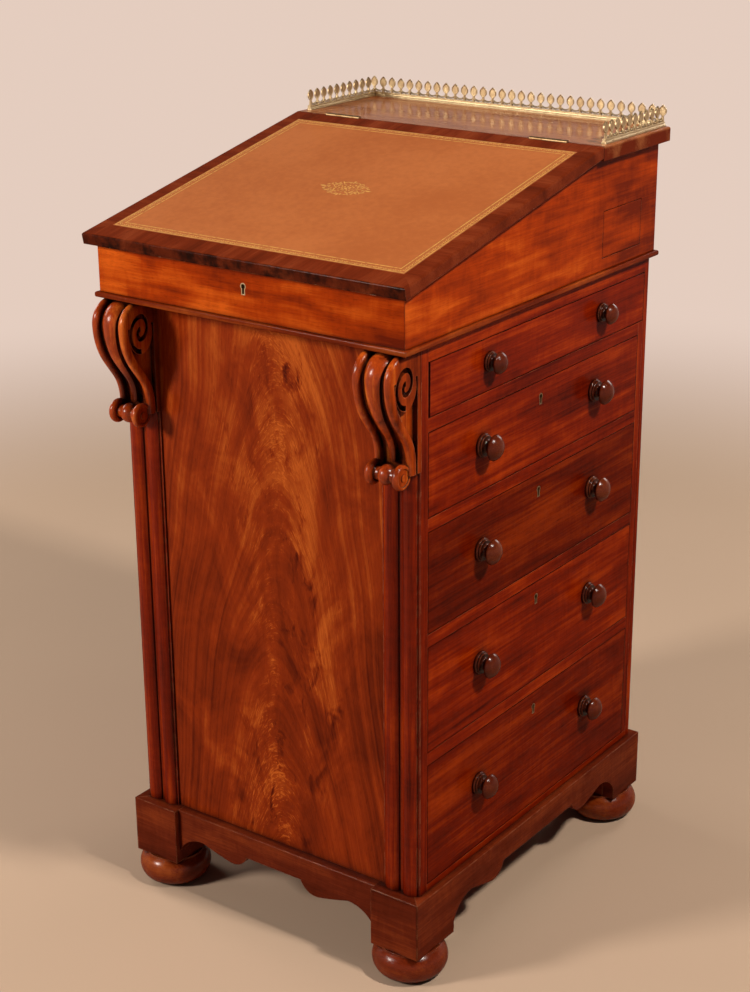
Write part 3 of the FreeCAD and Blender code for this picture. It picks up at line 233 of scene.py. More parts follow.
class Finish(Nodes):
    """One node material."""

    def __init__(self, name):
        self.material = bpy.data.materials.new(name)
        self.material.use_nodes = True
        super().__init__(self.material.node_tree)
        self.output = self.node("ShaderNodeOutputMaterial")
        self.shader = self.node("ShaderNodeBsdfPrincipled")
        self.tree.links.new(self.shader.outputs["BSDF"], self.output.inputs["Surface"])
        self.place = self.node("ShaderNodeTexCoord").outputs["Object"]

    def shade(self, **values):
        for name, value in values.items():
            self.feed(self.shader.inputs[name.replace("_", " ")], value)

    def mix(self, share, a, b):
        values = {0: share, 6: a, 7: b}
        return self.node("ShaderNodeMix", values, data_type="RGBA", clamp_factor=True).outputs[2]

    def ramp(self, value, *stops):
        made = self.node("ShaderNodeValToRGB", {"Fac": value})
        elements = made.color_ramp.elements
        while len(elements) < len(stops):
            elements.new(0.5)
        for element, (place, tone) in zip(elements, stops):
            element.position = place
            element.color = (*tone, 1.0)
        return made.outputs["Color"]

    def turned(self, vector, turn=(0.0, 0.0, 0.0), scale=(1.0, 1.0, 1.0), shift=(0.0, 0.0, 0.0)):
        values = {"Vector": vector, "Rotation": turn, "Scale": scale, "Location": shift}
        return self.node("ShaderNodeMapping", values).outputs["Vector"]

    def noise(self, vector, detail=2.0, roughness=0.5, distortion=0.0):
        values = {"Vector": vector, "Scale": 1.0, "Detail": detail, "Roughness": roughness,
                  "Distortion": distortion}
        return self.node("ShaderNodeTexNoise", values).outputs["Fac"]

    def speckle(self, scale, *kind):
        """Noise of the same size in all directions, in spots to the metre."""
        return self.noise(self.turned(self.place, scale=(scale, scale, scale)), *kind)

    def joined(self, x, y, z=0.0):
        return self.node("ShaderNodeCombineXYZ", {0: x, 1: y, 2: z}).outputs[0]

    def facing(self):
        """The surface's direction in the piece's own frame."""
        return self.parts(self.node("ShaderNodeTexCoord").outputs["Normal"])

    def soft_edges(self, radius):
        """Normal with softened edges, and how near an edge the point is."""
        soft = self.node("ShaderNodeBevel", {"Radius": radius}, samples=4).outputs["Normal"]
        plain = self.node("ShaderNodeNewGeometry").outputs["Normal"]
        same = self.node("ShaderNodeVectorMath", {0: soft, 1: plain}, operation="DOT_PRODUCT")
        return soft, self.less(1.0, same.outputs["Value"])

    def corners(self, reach, alone):
        """How deep the point lies in a corner or groove."""
        air = self.node("ShaderNodeAmbientOcclusion", {"Distance": reach}, samples=6, only_local=alone)
        return self.spread(air.outputs["AO"], *CLOSED_IN)

    def bump(self, height, depth, normal=None):
        values = {"Height": height, "Distance": depth, "Strength": 1.0}
        if normal is not None:
            values["Normal"] = normal
        return self.node("ShaderNodeBump", values).outputs["Normal"]


# Turns that bring each axis to the first one
TO_X = {"x": (0.0, 0.0, 0.0), "y": (0.0, 0.0, -math.pi / 2), "z": (0.0, math.pi / 2, 0.0)}


def grain_space(finish, along, seed):
    """The place in millimetres with the grain along the first axis, moved so that each board differs."""
    shift = (seed * 1371.3 % 997, seed * 733.7 % 883, seed * 517.1 % 761)
    return finish.turned(finish.place, turn=TO_X[along], scale=PER_MM, shift=shift)


def stretched(finish, vector, along, across):
    return finish.turned(vector, scale=(1 / along, 1 / across, 1 / across))


def banded_space(finish):
    """Grain across each border of the lid, mitred at the corners of the leather."""
    place, half_x, half_s = lid_plane()
    flat = finish.turned(finish.place, turn=(-lid_tilt(), 0.0, 0.0), scale=PER_MM)
    x, slope, deep = finish.parts(flat)
    middle = (Matrix.Rotation(-lid_tilt(), 3, "X") @ place.translation).y / MM
    past_side = finish.less(finish.sum("ABSOLUTE", x), half_x / MM)
    past_end = finish.less(finish.sum("ABSOLUTE", finish.less(slope, middle)), half_s / MM)
    side = finish.sum("GREATER_THAN", past_side, past_end)
    values = {0: side, 4: finish.joined(slope, x, deep), 5: finish.joined(x, slope, deep)}
    return finish.node("ShaderNodeMix", values, data_type="VECTOR").outputs[1]


# Straight grain, layer by layer: length and width in mm, then detail, roughness and bend of the noise
STREAKS = (260, 6, 5, 0.62, 0.3)
BANDS = (260, 38, 2, 0.5, 0.8)
CLOUDS = (90, 30, 2, 0.5, 0.6)
FIBRES = (50, 1.6, 2, 0.5, 0.0)
RIPPLE = (9, 30, 2, 0.55, 0.9)
FIBRE_SHARE = 0.1
# Shares of the streaks, bands and clouds
LOOKS = {
    "striped": (0.32, 0.32, 0.12),
    "quiet": (0.07, 0.19, 0.18),
    "soft": (0.26, 0.3, 0.18),
    "mottled": (0.15, 0.3, 0.36),
}


def straight_grain(finish, space, figure, look):
    """Share of light wood: streaks, bands, clouds, fibres and a ripple across the grain."""
    shares = (*LOOKS[look], FIBRE_SHARE, figure)
    layers = []
    for long, wide, *kind in (STREAKS, BANDS, CLOUDS, FIBRES, RIPPLE):
        layers.append(finish.noise(stretched(finish, space, long, wide), *kind))
    return finish.total(0.5 - sum(shares) / 2, *zip(layers, shares))


# Crotch veneer, in mm: how the arches' middle wanders, their rounded tops, waves and curve
ARCH_WANDER = (50, -18)
ARCH_ROUND = 900
ARCH_WAVE = 46
ARCH_CURVE = 0.024
# The feathered spine: height of a whole swing and of its right-hand turn, then reach and middle
SWING, SWING_TOP = 430, 335
SPINE_SWING, SPINE_MIDDLE, SPINE_SWAY = 30, -12, 70
# Thickness, length, detail and share of each layer of arches
ARCHES = ((70, 500, 4, 0.24), (20, 200, 3, 0.12), (6, 80, 2, 0.06))
FEATHER = (5, 11, 4, 2.2)
# Distances from the spine over which the feathers and their glow die away
NEAR_SPINE = (105, 10)
SPINE_GLOW = (90, 20)
# Ranges of noise that count as clouds, strokes and blots
CLOUDED = (0.36, 0.6, 0.35, 1.0)
STROKED = (0.5, 0.74)
BLOTTED = (0.54, 0.74)
# Shares of the clouds, feathers, dark blots, glow and height
FLAME_SHARES = (0.3, 0.15, -0.16, 0.015, 0.0001)
FLAME_LEVEL = 0.085


def flame_grain(finish, space):
    """Share of light wood in a crotch veneer: steep arches, and feathers along a wavering spine."""
    x, _, z = finish.parts(space)

    def upward(size, row, *kind):
        return finish.noise(finish.joined(finish.sum("DIVIDE", z, size), row), *kind)

    def patches(wide, tall, lean, *kind):
        return finish.noise(finish.turned(space, turn=(0.0, lean, 0.0), scale=(1 / wide, 1, 1 / tall)), *kind)

    def along_arch(thick, long, detail, bend=0.0):
        place = finish.joined(finish.sum("DIVIDE", arch, thick), finish.sum("DIVIDE", away, long))
        return finish.noise(place, detail, 0.6, bend)

    away = finish.less(x, finish.line(upward(260, 1.3, 1, 0.5), *ARCH_WANDER))
    far = finish.sum("SQRT", finish.line(away, away, ARCH_ROUND))
    bent = finish.line(patches(90, 150, 0.0, 2, 0.5), ARCH_WAVE, z)
    arch = finish.total(bent, (far, 1.0), (finish.times(far, far), ARCH_CURVE))
    swing = finish.line(z, math.tau / SWING, math.pi / 2 - SWING_TOP * math.tau / SWING)
    sway = upward(60, 3.7, 3, 0.6)
    spine = finish.total(SPINE_MIDDLE, (finish.sum("SINE", swing), SPINE_SWING), (sway, SPINE_SWAY))
    beside = finish.sum("ABSOLUTE", finish.less(x, spine))
    clouds = patches(58, 120, 0.0, 4, 0.6, 1.0)
    blots = patches(20, 46, 0.5, 3, 0.6, 0.8)
    near = finish.times(finish.spread(beside, *NEAR_SPINE), finish.spread(clouds, *CLOUDED))
    strokes = finish.times(along_arch(*FEATHER), finish.line(clouds, 0.6, 0.7))
    feather = finish.times(finish.spread(strokes, *STROKED), near)
    shadow = finish.times(finish.spread(blots, *BLOTTED), near)
    layers = [(along_arch(*kind), share) for *kind, share in ARCHES]
    layers += zip((clouds, feather, shadow, finish.spread(beside, *SPINE_GLOW), z), FLAME_SHARES)
    return finish.total(FLAME_LEVEL, *layers)


# Where the dark, middle and light tone lie on the share of light wood
POLISHED_STOPS = (0.385, 0.5, 0.615)
LINING_STOPS = (0.33, 0.5, 0.68)
# Pores: length and width in mm, first noise value that counts, darkness
POLISHED_PORES = (7, 0.5, 0.58, 0.3)
LINING_PORES = (9, 0.6, 0.56, 0.4)
PORE_END = 0.7
# Spots to the metre
BLOTCH_SPOTS = 70
CHIP_SPOTS = 150
SMEAR_SPOTS = 16
WAVE_SPOTS = 14
# Ranges from none to full: open air, nearness to an edge, a face's direction
CLOSED_IN = (0.86, 0.3)
NEAR_EDGE = (0.03, 0.22)
CHIPPED_EDGE = (0.02, 0.1)
TO_WRITER = (0.5, 0.8)
TO_SIDE = (0.6, 0.95)
# Ranges of noise that count as rubbed and as chipped
PATCHY = (0.42, 0.62, 0.15, 1.0)
CHIPPED = (0.66, 0.7)
# Depths of the bumps in metres
WAVE_DEPTH = 0.0005
GRAIN_DEPTH = 0.00004
LINING_DEPTH = 0.00008
LINING_REACH = 0.014
POLISH_IOR = 1.42


def dimmed(tone, share):
    return [part * share for part in tone]


def add_pores(finish, space, tone, dark, pores):
    """Short dark pores along the grain: how deep they are, and the wood's colour with them."""
    long, wide, start, share = pores
    deep = finish.spread(finish.noise(stretched(finish, space, long, wide), 1, 0.5), start, PORE_END)
    return deep, finish.mix(finish.times(deep, share), tone, dimmed(dark, share))


def darken_front(finish, tone, deep, edge, blotches, amount):
    """Darkens the edge next to the writer in patches, partly grime and partly painted shade, with pale chips:
    the colour, and how deep the darkening is.
    """
    toward = finish.times(finish.facing()[1], -1.0)
    front = finish.times(finish.spread(toward, *TO_WRITER), finish.spread(blotches, 0.3, 0.65, amount, 0.3))
    chips = finish.spread(finish.speckle(CHIP_SPOTS, 2, 0.6), *CHIPPED)
    chips = finish.times(chips, finish.spread(edge, *CHIPPED_EDGE))
    deep = finish.sum("MAXIMUM", deep, finish.times(front, finish.less(1.0, chips)))
    return finish.mix(chips, tone, settings().wood.chipped), deep


def polished_wood(name, along, shades, seed=0, look="striped", figure=0.06, wear=0.45, polish=0.15,
                  gloss=0.18, rounding=0.0011, alone=False, shade_and_dirt=0.9, reach=0.009, front_grime_and_shade=0.0,
                  grimy=False, fade=None, side_polish=None):
    """French-polished wood with soft edges and open pores, its edges lighter for worn polish and a painted
    highlight, and its corners darker for old wax and painted shade.
    """
    wood = settings().wood
    finish = Finish(name)
    if along == "flame":
        value = flame_grain(finish, finish.turned(finish.place, scale=PER_MM))
        space = grain_space(finish, "z", seed)
    else:
        if along == "bands":
            space = banded_space(finish)
        elif along == "round":
            x, y, z = finish.parts(grain_space(finish, "x", seed))
            space = finish.joined(finish.sum("ADD", x, y), z)
        else:
            space = grain_space(finish, along, seed)
        value = straight_grain(finish, space, figure, look)
    # Darker towards one end of the piece by its place, not by its wood: painted shade
    if fade:
        axis, start, end, amount = fade
        level = finish.parts(finish.place)[axis]
        value = finish.sum("ADD", value, finish.spread(level, start, end, 0.0, amount))
    tone = finish.ramp(value, *zip(POLISHED_STOPS, shades))
    pores, tone = add_pores(finish, space, tone, shades[0], POLISHED_PORES)
    soft, edge = finish.soft_edges(rounding)
    blotches = finish.speckle(BLOTCH_SPOTS, 3, 0.6)
    # Edges lighter for worn polish and a painted highlight, or on drawer fronts dark for grime and the
    # painted shade of their gaps
    edge_marks = finish.times(finish.spread(edge, *NEAR_EDGE), finish.spread(blotches, *PATCHY))
    edge_marks = finish.times(edge_marks, wear)
    tone = finish.mix(edge_marks, tone, wood.grime_and_shade if grimy else wood.worn_and_highlight)
    # Darker in corners and grooves found by ambient occlusion: old wax, and painted shade under and beside
    # parts
    deep = finish.times(finish.corners(reach, alone), finish.spread(blotches, 0.3, 0.6, shade_and_dirt * 0.75, shade_and_dirt))
    if front_grime_and_shade:
        tone, deep = darken_front(finish, tone, deep, edge, blotches, front_grime_and_shade)
    tone = finish.mix(deep, tone, wood.grime_and_shade)
    smear = finish.speckle(SMEAR_SPOTS, 3, 0.6, 0.5)
    rough = finish.total(0.3, (smear, 0.2), (finish.sum("MAXIMUM", edge_marks, deep), 0.25))
    normal = finish.bump(finish.speckle(WAVE_SPOTS, 1, 0.4), WAVE_DEPTH, soft)
    normal = finish.bump(finish.less(value, finish.times(pores, 0.5)), GRAIN_DEPTH, normal)
    if side_polish is not None:
        sideways = finish.sum("ABSOLUTE", finish.facing()[0])
        polish = finish.spread(sideways, *TO_SIDE, polish, side_polish)
    finish.shade(Base_Color=tone, Roughness=rough, Normal=normal, Coat_Normal=normal)
    finish.shade(Specular_IOR_Level=0.0, Coat_Weight=polish, Coat_Roughness=gloss, Coat_IOR=POLISH_IOR)
    return finish.material


def plain_wood(name, along, shades, seed=0):
    """Bare or waxed lining wood, darker in its corners for dust and painted shade, and paler on its edges."""
    finish = Finish(name)
    space = grain_space(finish, along, seed)
    value = straight_grain(finish, space, 0.04, "striped")
    dark, _, light = shades
    tone = finish.ramp(value, *zip(LINING_STOPS, shades))
    pores, tone = add_pores(finish, space, tone, dark, LINING_PORES)
    # Corners darkened by ambient occlusion: dust and painted shade
    deep = finish.times(finish.corners(LINING_REACH, True), 0.75)
    tone = finish.mix(deep, tone, dimmed(dark, 0.3))
    soft, edge = finish.soft_edges(settings().wood.edge_round)
    tone = finish.mix(finish.times(finish.spread(edge, *NEAR_EDGE), 0.5), tone, light)
    normal = finish.bump(finish.less(value, pores), LINING_DEPTH, soft)
    finish.shade(Base_Color=tone, Roughness=0.55, Normal=normal)
    return finish.material


# Metal: softened edges, reach of the toned hollows and depth of the scratches, in metres
BRASS_EDGE = 0.0004
BRASS_REACH = 0.003
STEEL_EDGE = 0.0003
SCRATCH_DEPTH = 0.00002
LEAF_RISE = 0.004
# Scratches to the metre along each axis
BRASS_SCRATCHES = (2400, 300, 2400)
STEEL_SCRATCHES = (3000, 3000, 200)


def brass_finish(name, dull=0.0, leaves=None):
    """Polished brass, toned brown in its hollows and in the leaves above a level."""
    metal = settings().metal
    finish = Finish(name)
    soft, _ = finish.soft_edges(BRASS_EDGE)
    patches = finish.speckle(160, 4, 0.6)
    toned = finish.spread(patches, 0.45, 0.7, 0.05 + dull, 0.4 + dull)
    toned = finish.sum("MAXIMUM", toned, finish.times(finish.corners(BRASS_REACH, True), 0.9))
    if leaves:
        above = finish.spread(finish.parts(finish.place)[2], leaves, leaves + LEAF_RISE)
        hollow = finish.times(above, finish.spread(patches, 0.3, 0.65, 0.05, 0.5))
        toned = finish.sum("MAXIMUM", toned, hollow)
    tone = finish.mix(toned, metal.brass, metal.brass_dark)
    rough = finish.line(patches, 0.25, 0.32)
    normal = finish.noise(finish.turned(finish.place, scale=BRASS_SCRATCHES), 2, 0.6)
    normal = finish.bump(normal, SCRATCH_DEPTH, soft)
    finish.shade(Base_Color=tone, Metallic=1.0, Roughness=rough, Normal=normal)
    return finish.material


def steel_finish(name):
    """Brushed steel of the lock bolts."""
    steel = settings().metal.steel
    finish = Finish(name)
    soft, _ = finish.soft_edges(STEEL_EDGE)
    brushed = finish.noise(finish.turned(finish.place, scale=STEEL_SCRATCHES), 2, 0.6)
    rough = finish.line(brushed, 0.25, 0.25)
    tone = finish.mix(brushed, steel, dimmed(steel, 0.55))
    normal = finish.bump(brushed, SCRATCH_DEPTH, soft)
    finish.shade(Base_Color=tone, Metallic=1.0, Roughness=rough, Normal=normal)
    return finish.material


# Leather: cells of its grain to the metre, and their depth in metres
HIDE_CELLS = 950.0
HIDE_DEPTH = 0.00006


def leather_finish(name):
    """Tan hide with a fine grain and handled patches."""
    leather = settings().leather
    finish = Finish(name)
    patches = finish.speckle(7, 4, 0.55)
    mottle = finish.speckle(140, 3, 0.6)
    blend = finish.line(mottle, 0.5, finish.times(patches, 0.7))
    tone = finish.mix(finish.spread(blend, 0.45, 0.8), leather.hide, leather.hide_dark)
    cells = finish.node("ShaderNodeTexVoronoi", {"Vector": finish.place, "Scale": HIDE_CELLS}, feature="F1")
    height = finish.line(finish.speckle(600, 3, 0.6), 0.6, cells.outputs["Distance"])
    rough = finish.line(patches, 0.2, 0.36)
    finish.shade(Base_Color=tone, Roughness=rough, Specular_IOR_Level=0.25)
    finish.shade(Normal=finish.bump(height, HIDE_DEPTH))
    return finish.material


def gilt_finish(name):
    """Gold leaf pressed into the leather, rubbed thin in places."""
    leather = settings().leather
    finish = Finish(name)
    thin = finish.spread(finish.speckle(230, 4, 0.65), 0.44, 0.66)
    tone = finish.mix(thin, leather.gilt, leather.gilt_thin)
    finish.shade(Base_Color=tone, Metallic=finish.line(thin, -0.25, 0.25), Roughness=0.42)
    return finish.material


def dress(material, *nodes):
    for node in nodes:
        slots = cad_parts[node].data.materials
        slots.clear()
        slots.append(material)


def tones(piece, level=1.0):
    """Dark, middle and light colour of a kind of wood."""
    wood = settings().wood
    return [dimmed(getattr(wood, piece + kind), level) for kind in ("_dark", "_mid", "_light")]


def leather_top():
    """The leather's upper face."""
    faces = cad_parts["lid_leather"].data.polygons
    return max(faces, key=lambda face: face.area * face.normal.z)


def lid_tilt():
    """Angle of the lid's slope, from the leather's upper face."""
    normal = leather_top().normal
    return math.atan2(-normal.y, normal.z)


SAME_PLANE = 0.0001


def lid_plane():
    """A matrix from flat work to the middle of the leather, and its half width and half length."""
    top = leather_top()
    normal = top.normal.copy()
    across = Vector((1.0, 0.0, 0.0))
    slope = normal.cross(across)
    points = [corner.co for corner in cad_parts["lid_leather"].data.vertices]
    points = [point for point in points if abs((point - top.center).dot(normal)) < SAME_PLANE]
    wide = [point.dot(across) for point in points]
    long = [point.dot(slope) for point in points]
    middle = across * ((min(wide) + max(wide)) / 2) + slope * ((min(long) + max(long)) / 2)
    middle += normal * top.center.dot(normal)
    turn = Matrix((across, slope, normal)).transposed().to_4x4()
    return Matrix.Translation(middle) @ turn, (max(wide) - min(wide)) / 2, (max(long) - min(long)) / 2


def picked(geometry, kind):
    return [part for part in geometry if isinstance(part, kind)]


def raise_faces(shape, faces, height):
    """Makes flat faces a closed slab, sunk a little below the plane they lie on."""
    made = bmesh.ops.extrude_face_region(shape, geom=faces, use_keep_orig=True)["geom"]
    bmesh.ops.translate(shape, vec=(0.0, 0.0, height), verts=picked(made, BMVert))
    base = {corner for face in faces for corner in face.verts}
    bmesh.ops.translate(shape, vec=(0.0, 0.0, -height), verts=list(base))


def gilt_frame(shape, half_x, half_y, width, height):
    """A line round a rectangle."""
    corners = bmesh.ops.create_grid(shape, x_segments=1, y_segments=1, size=1.0)["verts"]
    bmesh.ops.scale(shape, vec=(half_x, half_y, 1.0), verts=corners)
    field = corners[0].link_faces[0]
    ring = bmesh.ops.inset_region(
        shape, faces=[field], thickness=width, use_even_offset=True, use_boundary=True)["faces"]
    bmesh.ops.delete(shape, geom=[field], context="FACES_ONLY")
    raise_faces(shape, ring, height)


def gilt_leaf(shape, place, angle, long, width, height, sides=8):
    """A pointed leaf, or a dot where the length is the width."""
    corners = bmesh.ops.create_circle(shape, cap_ends=True, segments=sides, radius=0.5)["verts"]
    bmesh.ops.scale(shape, vec=(long, width, 1.0), verts=corners)
    turn = Matrix.Translation((*place, 0.0)) @ Matrix.Rotation(angle, 4, "Z")
    bmesh.ops.transform(shape, matrix=turn, verts=corners)
    raise_faces(shape, [corners[0].link_faces[0]], height)


SCROLL_STEP = 0.35
SCROLL_DOT = 2.6


def gilt_scroll(shape, middle, radius, start, sweep, width, height):
    """A curled ribbon with a dot at its end."""

    def around(reach, angle):
        return middle[0] + reach * math.cos(angle), middle[1] + reach * math.sin(angle)

    before = set(shape.faces)
    sides = (radius - width / 2, radius + width / 2)
    ends = [shape.verts.new((*around(reach, start), 0.0)) for reach in sides]
    edge = shape.edges.new(ends)
    steps = max(3, round(abs(sweep) / SCROLL_STEP))
    axis = (0.0, 0.0, 1.0)
    bmesh.ops.spin(shape, geom=ends + [edge], cent=(*middle, 0.0), axis=axis, angle=sweep, steps=steps)
    raise_faces(shape, [face for face in shape.faces if face not in before], height)
    dot = width * SCROLL_DOT
    gilt_leaf(shape, around(radius - width, start + sweep), 0.0, dot, dot, height)


# Leaves of a border motif: shift along, lean, length and shift outwards, in shares of the spacing
BORDER_LEAVES = ((-0.22, 0.7, 0.62, 0.12), (0.22, -0.7, 0.62, 0.12), (0.0, 0.0, 0.2, -0.16))
BORDER_LEAF_WIDTH = 0.21


def gilt_border(shape, half_x, half_y):
    """Two lines round the leather with a row of leaves between them."""
    leather = settings().leather
    for inset in (leather.outer_line, leather.inner_line):
        gilt_frame(shape, half_x - inset, half_y - inset, leather.line, leather.lift)
    row = (leather.outer_line + leather.inner_line) / 2
    size = leather.motif
    wide = BORDER_LEAF_WIDTH * size
    for run, away, first in ((half_x - row, half_y - row, 0.0), (half_y - row, half_x - row, math.pi / 2)):
        count = round(2 * run / size)
        for turn in (first, first + math.pi):
            spin = Matrix.Rotation(turn, 2)
            for step in range(count):
                along = (step + 0.5) / count * 2 * run - run
                for shift, lean, long, out in BORDER_LEAVES:
                    place = spin @ Vector((along + shift * size, away + out * size))
                    gilt_leaf(shape, place, lean + turn, long * size, wide, leather.lift, 6)


# The emblem in metres: line, rosette, then petals, distance and length of each ring
EMBLEM_LINE = 0.0008
ROSETTE = 0.0034
PETAL_RINGS = ((8, 0.0044, 0.0038), (12, 0.0082, 0.0024))
PETAL_WIDTH = 0.0018
# Distance and length of the leaves at its ends, across and along the lid
TIP_ACROSS = (0.0288, 0.0076)
TIP_ALONG = (0.016, 0.0064)
TIP_WIDTH = 0.0024
# A quarter of it: place, radius, start and sweep of the scrolls
SCROLLS = (
    (0.0132, 0.0054, 0.0044, -2.2, 4.6),
    (0.0132, 0.0054, 0.0024, -0.6, 4.4),
    (0.0216, 0.003, 0.0032, 2.6, -4.4),
    (0.0062, 0.0118, 0.0034, 2.9, -4.4),
)
# Place, angle, length and width of the leaves in the quarter
LEAVES = (
    (0.0184, 0.0088, 0.5, 0.0054, 0.0019),
    (0.0114, 0.0134, 0.8, 0.005, 0.0018),
    (0.0252, 0.0052, -0.3, 0.004, 0.0015),
    (0.003, 0.015, 1.1, 0.0036, 0.0014),
    (0.015, 0.0118, 1.9, 0.0034, 0.0013),
    (0.0222, 0.008, 1.3, 0.003, 0.0012),
)


def gilt_emblem(shape):
    """Rosette with scrolls and leaves in a lozenge."""
    height = settings().leather.lift
    gilt_leaf(shape, (0.0, 0.0), 0.0, ROSETTE, ROSETTE, height, 10)
    for ring, reach, long in PETAL_RINGS:
        for petal in range(ring):
            angle = petal * math.tau / ring
            place = (reach * math.cos(angle), reach * math.sin(angle))
            gilt_leaf(shape, place, angle, long, PETAL_WIDTH, height)
    for side in (1, -1):
        face = 0.0 if side > 0 else math.pi
        gilt_leaf(shape, (side * TIP_ACROSS[0], 0.0), 0.0, TIP_ACROSS[1], TIP_WIDTH, height)
        gilt_leaf(shape, (0.0, side * TIP_ALONG[0]), math.pi / 2, TIP_ALONG[1], TIP_WIDTH, height)
        for level in (1, -1):
            turn = side * level
            for x, y, radius, start, sweep in SCROLLS:
                middle = (side * x, level * y)
                gilt_scroll(shape, middle, radius, face + turn * start, turn * sweep, EMBLEM_LINE, height)
            for x, y, angle, long, wide in LEAVES:
                gilt_leaf(shape, (side * x, level * y), face + turn * angle, long, wide, height)


def add_piece(name, shape, material, body):
    """Turns a bmesh into a piece that rides on a body."""
    bmesh.ops.recalc_face_normals(shape, faces=shape.faces)
    mesh = bpy.data.meshes.new(name)
    shape.to_mesh(mesh)
    shape.free()
    mesh.materials.append(material)
    piece = add_object(name, mesh)
    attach(piece, body)
    return piece


# Half of the rail's section from its foot up, in shares of half its width and of its height
RAIL_SECTION = ((1.0, 0.0), (1.0, 0.21), (0.83, 0.26), (0.83, 0.34), (0.63, 0.45), (0.53, 0.62), (0.7, 0.68),
                (0.7, 0.86), (0.53, 0.92), (0.53, 1.0))


def gallery_rail(shape, half, back, front, base, width, height):
    """Moulded rail along both sides and the back, mitred at the corners."""
    outline = [*RAIL_SECTION, *((-u, v) for u, v in reversed(RAIL_SECTION))]
    start = front - width / 2
    corners = [shape.verts.new((-half - u * width / 2, start, base + v * height)) for u, v in outline]
    to_back = Matrix(((1, 0, 0, 0), (-1, 0, 0, back - half), (0, 0, 1, 0), (0, 0, 0, 1)))
    to_right = Matrix.Scale(-1.0, 4, (1.0, 0.0, 0.0))
    to_front = Matrix(((1, 0, 0, 0), (0, 0, 0, start), (0, 0, 1, 0), (0, 0, 0, 1)))
    faces = [shape.faces.new(corners)]
    for move in (to_back, to_right, to_front):
        made = bmesh.ops.extrude_face_region(shape, geom=faces)["geom"]
        faces = picked(made, BMFace)
        bmesh.ops.transform(shape, matrix=move, verts=picked(made, BMVert))


# Leaf of a circle: how its ends narrow, where they begin, and how far its tip is drawn out
LEAF_FOOT_WIDTH, LEAF_HEAD_WIDTH, LEAF_ENDS = 0.8, 0.9, 0.6
LEAF_TIP, LEAF_TIP_START = 1.18, 0.95
LEAF_HOLLOW = 0.0005
# Radius of the post at its foot and head, in shares of a link, and how far it goes into the leaf
POST_FOOT, POST_HEAD, POST_SINK = 0.75, 0.55, 0.001


def gallery_leaf(shape, place, height):
    """A pointed leaf with a raised rim on a small post, facing along Y in its own frame."""
    gallery = settings().gallery
    foot = gallery.leaf_foot
    before = set(shape.verts)
    upright = Matrix.Rotation(math.pi / 2, 4, "X")
    corners = bmesh.ops.create_circle(shape, cap_ends=True, segments=16, radius=1.0, matrix=upright)["verts"]
    for corner in corners:
        x, z = corner.co.x, corner.co.z
        narrow = LEAF_FOOT_WIDTH if z < -LEAF_ENDS else LEAF_HEAD_WIDTH if z > LEAF_ENDS else 1.0
        tip = LEAF_TIP if z > LEAF_TIP_START else 1.0
        level = foot + (1 + z * tip) * height / (1 + LEAF_TIP)
        corner.co = (x * narrow * gallery.leaf_width / 2, -gallery.sheet / 2, level)
    face = corners[0].link_faces[0]
    made = bmesh.ops.extrude_face_region(shape, geom=[face], use_keep_orig=True)["geom"]
    moved = picked(made, BMVert)
    bmesh.ops.translate(shape, vec=(0.0, gallery.sheet, 0.0), verts=moved)
    other = picked(made, BMFace)
    around = {side for corner in corners + moved for side in corner.link_faces}
    bmesh.ops.recalc_face_normals(shape, faces=list(around))
    for side in (face, other[0]):
        bmesh.ops.inset_region(shape, faces=[side], thickness=gallery.rim, use_even_offset=True)
        bmesh.ops.translate(shape, vec=side.normal * -LEAF_HOLLOW, verts=list(side.verts))
    low, high = gallery.link * POST_FOOT, gallery.link * POST_HEAD
    post = bmesh.ops.create_cone(
        shape, cap_ends=True, segments=8, radius1=low, radius2=high, depth=foot + POST_SINK)
    bmesh.ops.translate(shape, vec=(0.0, 0.0, foot / 2), verts=post["verts"])
    bmesh.ops.transform(shape, matrix=place, verts=[corner for corner in shape.verts if corner not in before])


def gallery_link(shape, place, pitch):
    """A hanging arc from one leaf's foot to the next."""
    gallery = settings().gallery
    before = set(shape.verts)
    made = bmesh.ops.create_circle(shape, cap_ends=True, segments=6, radius=gallery.link / 2)["verts"]
    face = made[0].link_faces[0]
    bmesh.ops.spin(shape, geom=[face, *face.edges, *made], cent=(pitch / 2, 0.0, 0.0), axis=(0.0, 1.0, 0.0),
                   angle=-math.pi, steps=8)
    arc = [corner for corner in shape.verts if corner not in before]
    bmesh.ops.scale(shape, vec=(1.0, 1.0, 2 * (gallery.leaf_foot - gallery.link / 2) / pitch), verts=arc)
    bmesh.ops.translate(shape, vec=(0.0, 0.0, gallery.leaf_foot), verts=arc)
    bmesh.ops.transform(shape, matrix=place, verts=arc)


def pierced_gallery(shape):
    """Rail, leaves and links where the solid gallery stands."""
    gallery = settings().gallery
    low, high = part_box("gallery")
    margin = gallery.rail_width / 2
    half = high[0] - margin
    back = high[1] - margin
    front = low[1] + margin
    base = low[2] + gallery.rail_height
    gallery_rail(shape, half, back, front, low[2], gallery.rail_width, gallery.rail_height)
    height = high[2] - base - gallery.leaf_foot
    runs = [((-half, back), 0.0, 2 * half, 1)]
    runs += [((x, front), math.pi / 2, back - front, 0) for x in (-half, half)]
    for start, turn, long, last in runs:
        count = max(2, round(long / gallery.leaf_pitch))
        for step in range(count + last):
            along = Matrix.Translation((step * long / count, 0.0, 0.0))
            place = Matrix.Translation((*start, base)) @ Matrix.Rotation(turn, 4, "Z") @ along
            gallery_leaf(shape, place, height)
            if step < count:
                gallery_link(shape, place, long / count)


